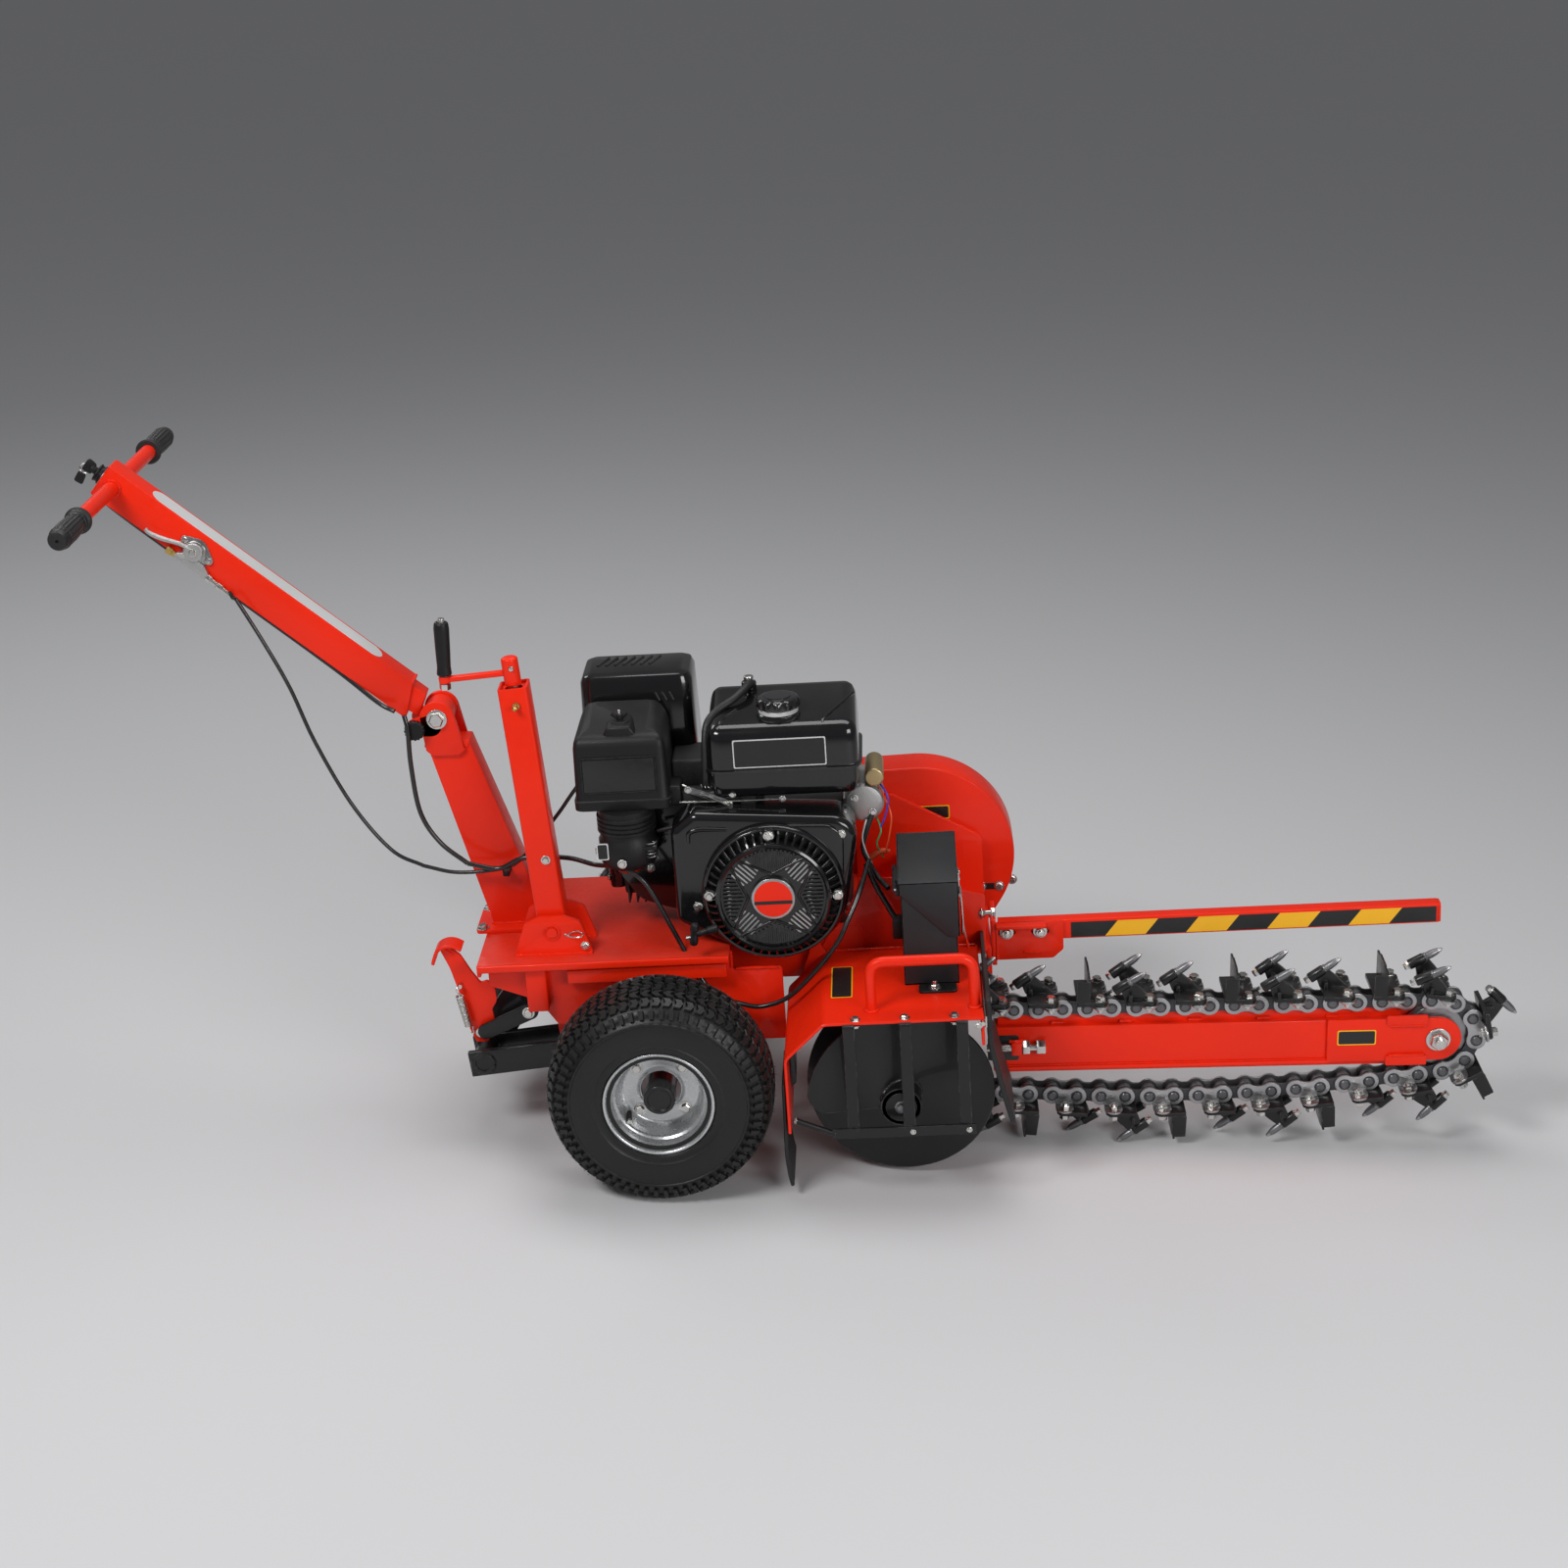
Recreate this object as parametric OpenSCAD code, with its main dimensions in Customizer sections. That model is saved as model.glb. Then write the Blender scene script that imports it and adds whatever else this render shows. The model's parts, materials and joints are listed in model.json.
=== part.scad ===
// Walk-behind trencher: engine deck on two wheels, digging boom and spoil auger in front,
// folding handle and screw jack behind. Sub-parts are drawn level, with the wheel axle at
// x = 0, and stand() then puts the machine on the ground with its boom raised slightly.

/* [Stance] */
// Nose-up angle at which the machine rests on its wheels and digging chain
pitch = 3.5; // [3:0.1:4]
// Distance of the wheel axle behind the middle of the machine's length
axle_back = 241.5; // [200:0.1:280]

/* [Wheels] */
// Outer radius of the tyre
tyre_r = 190; // [186:1:192]
// Width of the tyre
tyre_w = 150; // [130:1:152]
// Distance from the middle of the machine to the middle of each tyre
track_half = 320; // [318:1:330]

/* [Deck] */
// Height of the deck's top face
deck_z = 362; // [358:1:366]
// Half width of the deck
deck_half = 185; // [180:1:188]

/* [Chain] */
// Pitch of the digging chain
chain_pitch = 42; // [42:0.01:42.02]
// Number of teeth on the drive sprocket
teeth = 10; // [10:2:10]
// Slack in the middle of the chain's lower run
sag = 36; // [16:1:38]
// Height of a cutter above the chain's pin line
cutter_h = 80; // [72:1:82]

/* [Auger] */
// Radius of the auger flight
auger_r = 158; // [140:1:159]

/* [Handle] */
// Length of the upper handle column
column_len = 612; // [560:1:640]
// Length of the cross bar at the top of the handle
bar_len = 690; // [600:10:700]

/* [Fits] */
// Radial clearance of a running fit
fit = 0.1; // [0.05:0.01:0.2]

/* [Hidden] */
$fn = 48;

red = "orangered";
black = [0.09, 0.09, 0.1];
steel = [0.6, 0.6, 0.62];

// Places of the main shafts and pivots, as [x, z]
axle = [0, tyre_r];
arm_pivot = [-325, 160];
jack_pivot = [-183, 403];
arm_len = norm(axle - arm_pivot);
jack_lean = atan2(-27.5, 422);
head = [398, 143];
boom_run = 22 * chain_pitch;
boom_slope = -1.26;
nose = head + boom_run * [cos(boom_slope), sin(boom_slope)];
link_angle = 360 / teeth;
sprocket_r = chain_pitch / 2 / sin(link_angle / 2);
engine = [200, 465];
mid_shaft = [448, 385];
lid_hinge = [404, 478];
fold = [-360, 757];
column_start = [-415, 797];
column_angle = 138.8;
boom_y = -105;
jack_y = -110;
drive_y = 178;
rail_y = [-34, 60];
hanger_y = [-48, 60];
front_y = -50;
roller_r = 12.5;
rail_z = sprocket_r - roller_r;

// Puts the level machine on the ground, nose up, with the middle of its length at x = 0
module stand()
    translate([-axle_back, 0, tyre_r]) rotate([0, -pitch, 0]) translate([0, 0, -tyre_r]) children();

// A round bar along Y between two Y values
module bar_y(r, y0, y1, at = [0, 0])
    translate([at[0], y1, at[1]]) rotate([90, 0, 0]) cylinder(r = r, h = y1 - y0);

// A flat plate: the children are its outline in x and z, and it spans two Y values
module plate_y(y0, y1)
    translate([0, y1, 0]) rotate([90, 0, 0]) linear_extrude(height = y1 - y0) children();

// A flat strip with round ends, a touch wider than itself, between two points of x and z
module strip(p, q, w) {
    turn = atan2(q[1] - p[1], q[0] - p[0]);
    translate(p) rotate(turn) translate([0, -w / 2]) square([norm(q - p), w]);
    for (end = [p, q])
        translate(end) circle(d = w * 1.03);
}

// A box given by its lowest and highest corners
module block(a, b)
    translate(a) cube(b - a);

// A round rod between two points
module rod(p, q, r) {
    step = q - p;
    translate(p) rotate([0, atan2(norm([step[0], step[1]]), step[2]), atan2(step[1], step[0])])
        cylinder(r = r, h = norm(step));
}

// Moves to the start of the upper handle column, with +X along it and +Z off its top face
module on_column()
    translate([column_start[0], 0, column_start[1]]) rotate([0, -column_angle, 0])
        mirror([0, 0, 1]) children();

// Moves to the jack pivot, with +Z up the jack's own axis
module on_jack()
    translate([jack_pivot[0], jack_y, jack_pivot[1]]) rotate([0, jack_lean, 0]) children();

// Moves to the drive sprocket, with +X along the boom
module on_boom()
    translate([head[0], boom_y, head[1]]) rotate([0, -boom_slope, 0]) children();

// ---- Frame ----

// Folded deck plate, narrower under the engine, with its rails underneath
module deck() color(red)
    difference() {
        union() {
            block([-312, -deck_half, deck_z - 8], [118, deck_half, deck_z]);
            block([118, -57, deck_z - 8], [335, 150, deck_z]);
            for (side = [-1, 1])
                block([-312, side * deck_half - 3, deck_z - 38], [118, side * deck_half + 3, deck_z]);
            block([-312, -deck_half, deck_z - 38], [-306, deck_half, deck_z - 8]);
            for (y = rail_y)
                block([-290, y - 22, deck_z - 62], [270, y + 22, deck_z - 8]);
            for (y = [-154, 154])
                plate_y(y - 3, y + 3)
                    polygon([[-298, deck_z - 4], [-298, 276], [-195, 234], [-118, 234], [-62, 302],
                        [62, 302], [62, deck_z - 4]]);
            block([60, -150, 186], [118, -142, deck_z - 4]);
            block([116, -150, 186], [205, -142, deck_z - 40]);
        }
        for (y = rail_y)
            block([-291, y - 18, deck_z - 58], [271, y + 18, deck_z - 12]);
        block([-228, jack_y - 30, deck_z - 9], [-138, jack_y + 30, deck_z + 1]);
    }

// Welded box that carries the jackshaft and the head shaft, with a front plate beside the engine
module drive_frame() color(red) {
    difference() {
        union() {
            plate_y(drive_y - 48, drive_y - 40)
                polygon([[335, 480], [400, 520], [560, 430], [560, 280], [470, 80], [335, 80]]);
            plate_y(-64, -59)
                polygon([[262, 294], [283, 338], [322, 388], [345, 440], [405, 440], [556, 400], [556, 294]]);
            block([335, -62, 292], [344, drive_y - 44, deck_z]);
            block([340, -62, 292], [558, drive_y - 44, 300]);
            block([557, front_y, 230], [565, drive_y - 44, 296]);
            bar_y(48, front_y, drive_y - 44, head);
            bar_y(36, 60, drive_y - 44, mid_shaft);
            block([380, front_y, 180], [416, 10, 296]);
            block([380, 20, 180], [416, drive_y - 44, 296]);
        }
        bar_y(25 + fit, front_y - 1, drive_y, head);
        bar_y(20 + fit, 59, drive_y, mid_shaft);
    }
}

// Tapered lower handle column with its base plate and clevis ears
module lower_column() color(red) {
    plate_y(-25, 25)
        polygon([[-301, deck_z + 8], [-204, deck_z + 8], [-311, 712], [-385, 716]]);
    block([-330, -50, deck_z], [-196, 50, deck_z + 8]);
    difference() {
        for (side = [-1, 1])
            plate_y(side * 29 - 4, side * 29 + 4) {
                strip([-350, 700], fold, 52);
                strip(fold, [-398, 742], 34);
                translate(fold) circle(d = 60);
            }
        bar_y(8 + fit, -40, 40, fold);
    }
}

// Trapezoid ears that hold the jack's trunnion pins
module jack_ears() color(red)
    difference() {
        for (side = [-1, 1])
            plate_y(jack_y + side * 35 - 4, jack_y + side * 35 + 4)
                difference() {
                    polygon([[-250, deck_z], [-115, deck_z], [-135, 420], [-160, 432], [-205, 432],
                        [-228, 420]]);
                    translate(jack_pivot) circle(r = 9 + fit);
                }
    }

// Black links that hang the wheel arms' pivot from the deck rails
module arm_hangers() color(black)
    difference() {
        for (y = hanger_y) {
            plate_y(y - 5, y + 5) {
                strip(arm_pivot, [-240, 270], 44);
                translate(arm_pivot) circle(r = 32);
            }
            block([-262, y - 5, 270], [-218, y + 5, deck_z - 62]);
        }
        bar_y(19 + fit, -200, 200, arm_pivot);
    }

// ---- Wheels and their arms ----

// Place where the jack's ram meets the wheel arm
jack_foot = jack_pivot + 229 * [-sin(jack_lean), -cos(jack_lean)];

// Pivot tube and flat arms that carry the axle tube and the jack's foot pin
module swing_arm() color(black)
    difference() {
        union() {
            bar_y(19, -150, 150, arm_pivot);
            for (y = [jack_y - 32, jack_y + 32, 128])
                plate_y(y - 6, y + 6) strip(arm_pivot, axle, 46);
            bar_y(28, -236, 236, axle);
            bar_y(10, jack_y - 44, jack_y + 44, jack_foot);
        }
        bar_y(12.7, -151, 151, arm_pivot);
        bar_y(17.05, -237, 237, axle);
    }

// Fixed axle with a collar outside each wheel
module axle() color(steel) {
    bar_y(17, -track_half - 52, track_half + 52, axle);
    for (side = [-1, 1])
        bar_y(24, side * (track_half + 58) - 6, side * (track_half + 58) + 6, axle);
}

// Stepped steel wheel with an open hub, as a turned profile
module rim(y) translate([axle[0], y, axle[1]]) rotate([90, 0, 0]) color([0.8, 0.81, 0.82])
    difference() {
        rotate_extrude()
            polygon([[17 + fit, -48], [30, -48], [30, -4], [62, -4], [72, -40], [72, -66], [90, -66],
                [90, -60], [78, -60], [78, -30], [72, 4], [72, 30], [78, 34], [78, 60], [90, 60],
                [90, 66], [72, 66], [72, 38], [66, 30], [60, 4], [30, 4], [30, 48], [17 + fit, 48]]);
        for (i = [0 : 3])
            rotate(i * 90 + 45) translate([47, 0, -5]) cylinder(r = 5, h = 10);
    }

// Low, wide turf tyre, as a turned profile
module tyre(y) translate([axle[0], y, axle[1]]) rotate([90, 0, 0]) color(black)
    rotate_extrude($fn = 96) {
        half = tyre_w / 2;
        polygon([[78.2, -59.8], [90.5, -59.8], [90.5, -66], [100, -half + 3], [130, -half],
            [tyre_r - 30, -half], [tyre_r - 14, -half + 5], [tyre_r - 5, -half + 18], [tyre_r, -36],
            [tyre_r, 36], [tyre_r - 5, half - 18], [tyre_r - 14, half - 5], [tyre_r - 30, half],
            [130, half], [100, half - 3], [90.5, 66], [90.5, 59.8], [78.2, 59.8]]);
    }

module near_rim() rim(-track_half);
module near_tyre() tyre(-track_half);
module far_rim() rim(track_half);
module far_tyre() tyre(track_half);

// ---- Screw jack ----

// Square outer tube on two trunnion stubs
module jack_tube() color(red) on_jack()
    difference() {
        union() {
            block([-25, -25, -150], [25, 25, 436]);
            block([-25, -30, -22], [25, 30, 22]);
            rotate([90, 0, 0]) cylinder(r = 9, h = 84, center = true);
        }
        block([-20.2, -20.2, -151], [20.2, 20.2, 430]);
        translate([0, 0, 429]) cylinder(r = 12 + fit, h = 8);
    }

// Inner ram with the slotted eye that takes the wheel arm's pin
module jack_ram() color(red) on_jack() {
    difference() {
        block([-20, -20, -200], [20, 20, 90]);
        translate([0, 0, -120]) cylinder(r = 14, h = 211);
    }
    translate([0, 0, -229])
        difference() {
            union() {
                block([-20, -20, 0], [20, 20, 29]);
                rotate([90, 0, 0]) cylinder(r = 22, h = 40, center = true);
            }
            for (x = [-6, 6])
                translate([x, 0, 0]) rotate([90, 0, 0]) cylinder(r = 11, h = 42, center = true);
            block([-6, -21, -11], [6, 21, 11]);
        }
}

// Screw, hub and arm of the crank
module crank() color(red) on_jack() {
    translate([0, 0, -40]) cylinder(r = 10, h = 500);
    translate([0, 0, 437]) cylinder(r = 14, h = 45);
    block([-112, -7, 452], [-10, 7, 464]);
    translate([-112, 0, 458]) rotate([0, 6, 0]) cylinder(r = 6, h = 106);
}

// Plain plastic grip that spins on the crank arm
module crank_grip() color(black) on_jack()
    translate([-112, 0, 458]) rotate([0, 6, 0]) translate([0, 0, 8])
        difference() {
            cylinder(r = 13, h = 92);
            translate([0, 0, -1]) cylinder(r = 6 + fit, h = 94);
        }

// ---- Handle ----

// Rectangular upper column with a tongue that fits between the clevis ears
module upper_column() color(red)
    difference() {
        union() {
            on_column() {
                difference() {
                    block([0, -25, -29], [column_len, 25, 29]);
                    block([4, -21, -25], [column_len - 4, 21, 25]);
                }
                block([-40, -24, -20], [0, 24, 26]);
            }
            bar_y(27, -24, 24, fold);
        }
        bar_y(8 + fit, -30, 30, fold);
        on_column()
            translate([589, 0, 0]) rotate([90, 0, 0]) cylinder(r = 13 + fit, h = 80, center = true);
        plate_y(-26, 26)
            polygon([[-311, 712], [-385, 716], [-392, 730], [-304, 727]]);
    }

// Round bar across the top of the column
module cross_bar() color(red) on_column()
    translate([589, 0, 0]) rotate([90, 0, 0]) cylinder(r = 13, h = bar_len - 12, center = true);

// Ribbed rubber grips with a collar, one at each end of the bar
module hand_grips() color(black) on_column() translate([589, 0, 0])
    for (side = [-1, 1])
        rotate([side * 90, 0, 0]) translate([0, 0, bar_len / 2 - 125])
            rotate_extrude()
                polygon([[13 + fit, 0], [22, 0], [22, 8], [17, 12], [18, 70], [17.5, 112], [14, 125],
                    [0, 125], [0, 119.5], [13 + fit, 119.5]]);

// Plate and cable stop of the hand throttle
module throttle_mount() color(steel) on_column() {
    translate([425, -30, -4]) rotate([90, 0, 0])
        difference() {
            cylinder(r = 24, h = 10, center = true);
            cylinder(r = 7 + fit, h = 12, center = true);
        }
    block([365, -35, -20], [404, -25, -8]);
}

// Hand throttle: a disc and a bent lever
module throttle_lever() color(steel) on_column() translate([425, 0, -4]) {
    translate([0, -25, 0]) rotate([90, 0, 0]) cylinder(r = 7, h = 12);
    translate([0, -35.2, 0]) rotate([90, 0, 0]) cylinder(r = 20, h = 5);
    block([-8, -40, -5], [86, -35.2, 5]);
    block([78, -46, -9], [100, -40, 9]);
}

// Round ignition switch on the end face
module key_switch() color(black) on_column()
    difference() {
        translate([column_len, 0, 0]) rotate([0, 90, 0]) cylinder(r = 17, h = 14);
        translate([column_len + 2, 0, 0]) rotate([0, 90, 0]) cylinder(r = 5 + fit, h = 13);
    }

// Key with a flat bow
module ignition_key() color(steel) on_column() {
    translate([column_len + 2.5, 0, 0]) rotate([0, 90, 0]) cylinder(r = 5, h = 14);
    block([column_len + 16, -2, -12], [column_len + 38, 2, 12]);
}

// Knurled knob that locks the fold
module lock_knob() color(black)
    translate([-398, 0, 742]) rotate([90, 0, 0]) {
        translate([0, 0, 33.2]) cylinder(r = 17, h = 16);
    }

// ---- Foot latch ----

// Flat latch with a foot pad and a hook notch
module foot_latch() color(red) {
    plate_y(-118, -110)
        difference() {
            polygon([[-338, 186], [-318, 186], [-315, 232], [-318, 256], [-330, 262], [-318, 290],
                [-330, 318], [-366, 376], [-384, 368], [-362, 320], [-350, 268], [-346, 220]]);
            translate([-328, 206]) circle(r = 5 + fit);
        }
    block([-392, -134, 370], [-352, -94, 377]);
}

// Return spring beside the latch, as a coil of rings
module latch_spring() color(steel)
    for (i = [0 : 13])
        translate([-372 + i * 0.6, -127, 222 + i * 5]) rotate_extrude($fn = 24)
            translate([7, 0]) circle(r = 1.6, $fn = 16);

// ---- Engine ----

// Crankcase with its mounting feet
module crankcase() color(black)
    difference() {
        union() {
            block([95, -58, deck_z + 20], [320, 118, 560]);
            block([85, -50, deck_z], [325, 110, deck_z + 20]);
            bar_y(52, 118, 128, engine);
        }
        bar_y(20 + fit, -60, 140, engine);
    }

// Pressed blower housing round the flywheel
module blower_housing() color(black)
    difference() {
        plate_y(-150, -59) {
            translate(engine) circle(r = 128);
            translate([10, 392]) square([110, 190]);
            translate([40, 500]) square([250, 110]);
        }
        bar_y(122, -151, -58, engine);
    }

// Recoil starter cover with a slotted ring
module recoil_cover() color(black) translate([engine[0], -150.2, engine[1]]) rotate([90, 0, 0]) {
    difference() {
        cylinder(r = 121.5, h = 47, $fn = 96);
        translate([0, 0, -1]) cylinder(r = 116, h = 42, $fn = 96);
        for (i = [0 : 35])
            rotate(i * 10) translate([100, -2, 38]) cube([14, 4, 12]);
    }
}

// Pull grip of the recoil starter
module recoil_grip() color(black) {
    block([66, -205, 396], [78, -193, 432]);
    block([78, -203, 408], [82, -195, 418]);
}

// Finned cylinder that leans away from the recoil side
module cylinder_head() color([0.2, 0.2, 0.21]) {
    block([-70, -50, 420], [92, 60, 560]);
    for (i = [0 : 6])
        block([-64 + i * 22, -57, 412], [-58 + i * 22, 67, 568]);
}

// Air filter box over its round intake body
module air_filter() color(black) {
    plate_y(-130, 22)
        polygon([[-128, 617], [32, 612], [36, 728], [20, 744], [-110, 750], [-122, 738]]);
    block([-105, -100, 750], [15, 10, 768]);
    translate([-44, -108.5, 505]) cylinder(r = 50, h = 110);
}

// Muffler under its louvred guard
module muffler() color(black) {
    block([-120, 26, 640], [72, 150, 800]);
    block([-80, 26, 575], [-40, 56, 640]);
}

// Space between two X values under a roof that rises from one Y value to another
module under_roof(x, y, low, high)
    translate([x[0], 0, 0]) rotate([90, 0, 90]) linear_extrude(height = x[1] - x[0])
        polygon([[y[0], 300], [y[1], 300], [y[1], high], [y[0], low]]);

// Fuel tank with rolled edges, a sloping top and a filler neck
module fuel_tank() color(black)
    difference() {
        union() {
            intersection() {
                plate_y(-110, 60)
                    polygon([[98, 625], [106, 612], [345, 612], [354, 625], [356, 750], [340, 770],
                        [120, 770], [104, 752]]);
                under_roof([90, 360], [-111, 61], 738, 768);
            }
            translate([222, -50, 735]) cylinder(r = 30, h = 21);
        }
        translate([222, -50, 690]) cylinder(r = 24, h = 70);
        block([104, -104, 620], [350, 54, 694]);
    }

// Fuel cap with a stem in the filler neck
module fuel_cap() color(black) translate([222, -50, 0]) {
    translate([0, 0, 756.2]) cylinder(r = 36, h = 20);
    translate([0, 0, 735]) cylinder(r = 23.8, h = 23);
}

// Electric starter beside the crankcase
module starter_motor() color([0.7, 0.7, 0.71]) {
    bar_y(34, -56, 60, [358, 575]);
    bar_y(16, -56, 30, [377, 622]);
    block([320.5, 10, 540], [330, 50, 558]);
}

// Engine output shaft with the small pulley
module engine_shaft() color(steel) {
    bar_y(20, -140, drive_y - 1, engine);
    bar_y(105, -140, -120, engine);
    pulley(engine, 55);
}

// Twin-groove belt pulley
module pulley(at, r)
    translate([at[0], drive_y + 30, at[1]]) rotate([90, 0, 0])
        rotate_extrude($fn = 96)
            polygon([[0, 0], [r, 0], [r, 3], [r - 9, 8], [r, 13], [r, 17], [r - 9, 22], [r, 27],
                [r, 31], [0, 31]]);

// ---- Drive line ----

// Outline that wraps the two pulleys, grown by a margin
module drive_outline(margin) {
    wrap(engine, 66 + margin, mid_shaft, 152 + margin);
    wrap(mid_shaft, 152 + margin, head, 66 + margin);
}

// Two circles joined just inside their outer tangents
module wrap(a, ra, b, rb) {
    turn = atan2(b[1] - a[1], b[0] - a[0]);
    lean = acos((ra - rb) / norm(b - a));
    left = [cos(turn + lean), sin(turn + lean)];
    right = [cos(turn - lean), sin(turn - lean)];
    inset = 0.4;
    translate(a) circle(r = ra, $fn = 96);
    translate(b) circle(r = rb, $fn = 96);
    polygon([a + (ra - inset) * left, b + (rb - inset) * left, b + (rb - inset) * right,
        a + (ra - inset) * right]);
}

// Red cover over the belt and the final chain, open towards the machine
module belt_cover() color(red)
    difference() {
        plate_y(drive_y - 20, drive_y + 60) drive_outline(18);
        plate_y(drive_y - 16, drive_y + 56) drive_outline(14);
        bar_y(30, drive_y - 22, drive_y - 14, engine);
        bar_y(30, drive_y - 22, drive_y - 14, mid_shaft);
        bar_y(60, drive_y - 22, drive_y - 14, head);
    }

// Jackshaft with the large pulley and the small sprocket
module jackshaft() color(steel) {
    bar_y(20, 40, drive_y - 1, mid_shaft);
    pulley(mid_shaft, 145);
    bar_y(40, drive_y + 36, drive_y + 42, mid_shaft);
    bar_y(18, drive_y + 30, drive_y + 50, mid_shaft);
}

// Ring that follows the outside of two wheels
module loop(a, ra, b, rb, thick)
    difference() {
        wrap(a, ra + thick, b, rb + thick);
        wrap(a, ra, b, rb);
    }

// Twin V-belt, drawn as one band on the pulley rims
module drive_belt() color(black)
    plate_y(drive_y + 3, drive_y + 27) loop(engine, 55.3, mid_shaft, 145.3, 5);

// Roller chain from the jackshaft to the head shaft, drawn as one band
module final_chain() color(steel)
    plate_y(drive_y + 35, drive_y + 43) loop(mid_shaft, 40.3, head, 60.3, 8);

// Direction of the sprocket's roller seat i
function seat(i) = let (turn = 90 + boom_slope + (i - phase) * link_angle) [cos(turn), sin(turn)];

// Head shaft with the toothed drive sprocket
module head_shaft() color(steel) {
    bar_y(25, -230, drive_y + 50, head);
    bar_y(60, drive_y + 36, drive_y + 42, head);
    difference() {
        bar_y(sprocket_r - 1, boom_y - 8, boom_y + 8, head);
        for (i = [0 : teeth - 1])
            bar_y(roller_r + 0.5, boom_y - 9, boom_y + 9,
                head + sprocket_r * seat(i));
    }
}

// One and a quarter turns of flight on a tube, with the end bolt
module auger() color(black) {
    difference() {
        bar_y(34, -338, -178, head);
        bar_y(25 + fit, -232, -177, head);
    }
    bar_y(14, -346, -338, head);
    translate([head[0], -334, head[1]]) rotate([-90, 0, 0])
        linear_extrude(height = 125, twist = -450, slices = 45)
            rotate(-190) difference() {
                circle(r = auger_r, $fn = 64);
                circle(r = 34.05);
                polygon([[0, 0], [300 * cos(17), 300 * sin(17)], [0, 400], [-400, 0], [0, -400], [300, 0]]);
            }
}

// ---- Auger guards ----

// Folded hood over the chain and the auger
module auger_hood() color(red) {
    plate_y(-362, -80)
        polygon([[209, 112], [214, 112], [214, 248], [278, 308], [540, 308], [540, 313], [276, 313],
            [209, 250]]);
    block([278, -80, 290], [540, -75, 313]);
    block([536, -362, 262], [540, -172, 308]);
}

// Bent round bar to lift the front end
module lift_handle() color(red) {
    bend = 24;
    left = 357;
    right = 527;
    top = 400;
    for (x = [left, right])
        translate([x, -318, 313.2]) cylinder(r = 9, h = top - bend - 313.2);
    for (side = [-1, 1])
        translate([side < 0 ? left + bend : right - bend, -318, top - bend])
            rotate([90, side < 0 ? -90 : 0, 0]) rotate_extrude(angle = 90)
                translate([bend, 0]) circle(r = 9);
    translate([left + bend, -318, top]) rotate([0, 90, 0]) cylinder(r = 9, h = right - left - 2 * bend);
}

// Three flat bars and a bottom bar round the auger
module auger_cage() color(black) {
    for (x = [318, 411, 504])
        block([x - 10, -367.2, 118], [x + 10, -362.2, 313]);
    block([283, -372.4, 106], [520, -367.4, 122]);
    rod([285, -369, 114], [221, -348, 130], 4);
}

// Rubber curtains on both sides of the auger
module rubber_flaps() color(black) {
    block([202, -350, 6], [208.8, -215, 190]);
    plate_y(-345, -175)
        polygon([[545, 335], [551, 335], [553, 258], [586, 105], [580, 105], [547, 258]]);
    block([545, -175, 300], [551, -66, 335]);
}

// ---- Battery ----

// Open box under the lid, with hinge leaves on its engine side
module battery_box() color(black) {
    difference() {
        block([413, -228, 313.2], [504.5, -77, 478]);
        block([416, -225, 317], [501.5, -80, 479]);
    }
    for (y = [-205, -125])
        difference() {
            union() {
                block([404, y, 466], [414, y + 18, 477]);
                bar_y(4.5, y, y + 18, lid_hinge);
            }
            bar_y(2, y - 1, y + 19, lid_hinge);
        }
}

// Battery inside the box
module battery() color([0.15, 0.15, 0.17]) {
    block([418, -223, 317.2], [499.5, -82, 455]);
    for (y = [-200, -105])
        translate([458, y, 455]) cylinder(r = 8, h = 14);
}

// Lid with slanting skirts that swings back on a round hinge pin
module battery_lid() color(black) {
    difference() {
        intersection() {
            under_roof([409, 509], [-232, -73], 500, 526);
            plate_y(-233, -72)
                polygon([[408, 477.4], [408, 530], [510, 530], [510, 400], [490, 400], [413, 477.4]]);
        }
        under_roof([412.4, 506], [-229, -76], 497, 523);
    }
    block([404, -185, 478.4], [410, -127, 486]);
    bar_y(4.5, -185, -127, lid_hinge);
    bar_y(1.9, -205, -107, lid_hinge);
}

// Over-centre catch on the side of the lid, with a round pivot
module lid_latch() color(steel) {
    block([509.3, -165, 352], [515, -140, 449]);
    bar_y(2.8, -170, -135, [512.2, 448]);
}

// ---- Boom and chain ----

// Box bar with rails, a tension fork at one end and nose plates at the other
module boom() color(red) on_boom() {
    block([162, -20, -37], [boom_run - 58, 20, 37]);
    block([170, -8, 37], [boom_run - 62, 8, rail_z - 0.2]);
    block([170, -8, 0.2 - rail_z], [boom_run - 62, 8, -37]);
    block([162, -26, -44], [740, 26, -37]);
    difference() {
        for (side = [-1, 1])
            plate_y(side * 23.5 - 3.4, side * 23.5 + 3.4) {
                translate([735, -40]) square([boom_run - 735, 80]);
                translate([boom_run, 0]) circle(r = 40);
            }
        translate([boom_run, 0, 0]) rotate([90, 0, 0]) cylinder(r = 13, h = 60, center = true);
    }
    translate([192, -37, -8]) cube([18, 17, 22]);
}

// Smooth roller on the nose bolt
module nose_roller() color(black) on_boom() translate([boom_run, 0, 0]) rotate([90, 0, 0])
    rotate_extrude($fn = 96)
        polygon([[0, -27], [12.9, -27], [12.9, -9], [rail_z - 0.2, -9], [rail_z - 0.2, 9],
            [12.9, 9], [12.9, 27], [20, 27], [20, 34], [0, 34]]);

// Phase of the pins along the top run, in pitches
phase = -0.293;

// Radius and half angle of the arc in which the lower run hangs
sag_r = (pow(boom_run / 2, 2) + sag * sag) / 2 / sag;
sag_half = asin(boom_run / 2 / sag_r);

// Point on a sprocket-sized circle at a given angle, with its centre at x
function round_point(x, angle) = [x + sprocket_r * cos(angle), sprocket_r * sin(angle)];

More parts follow.
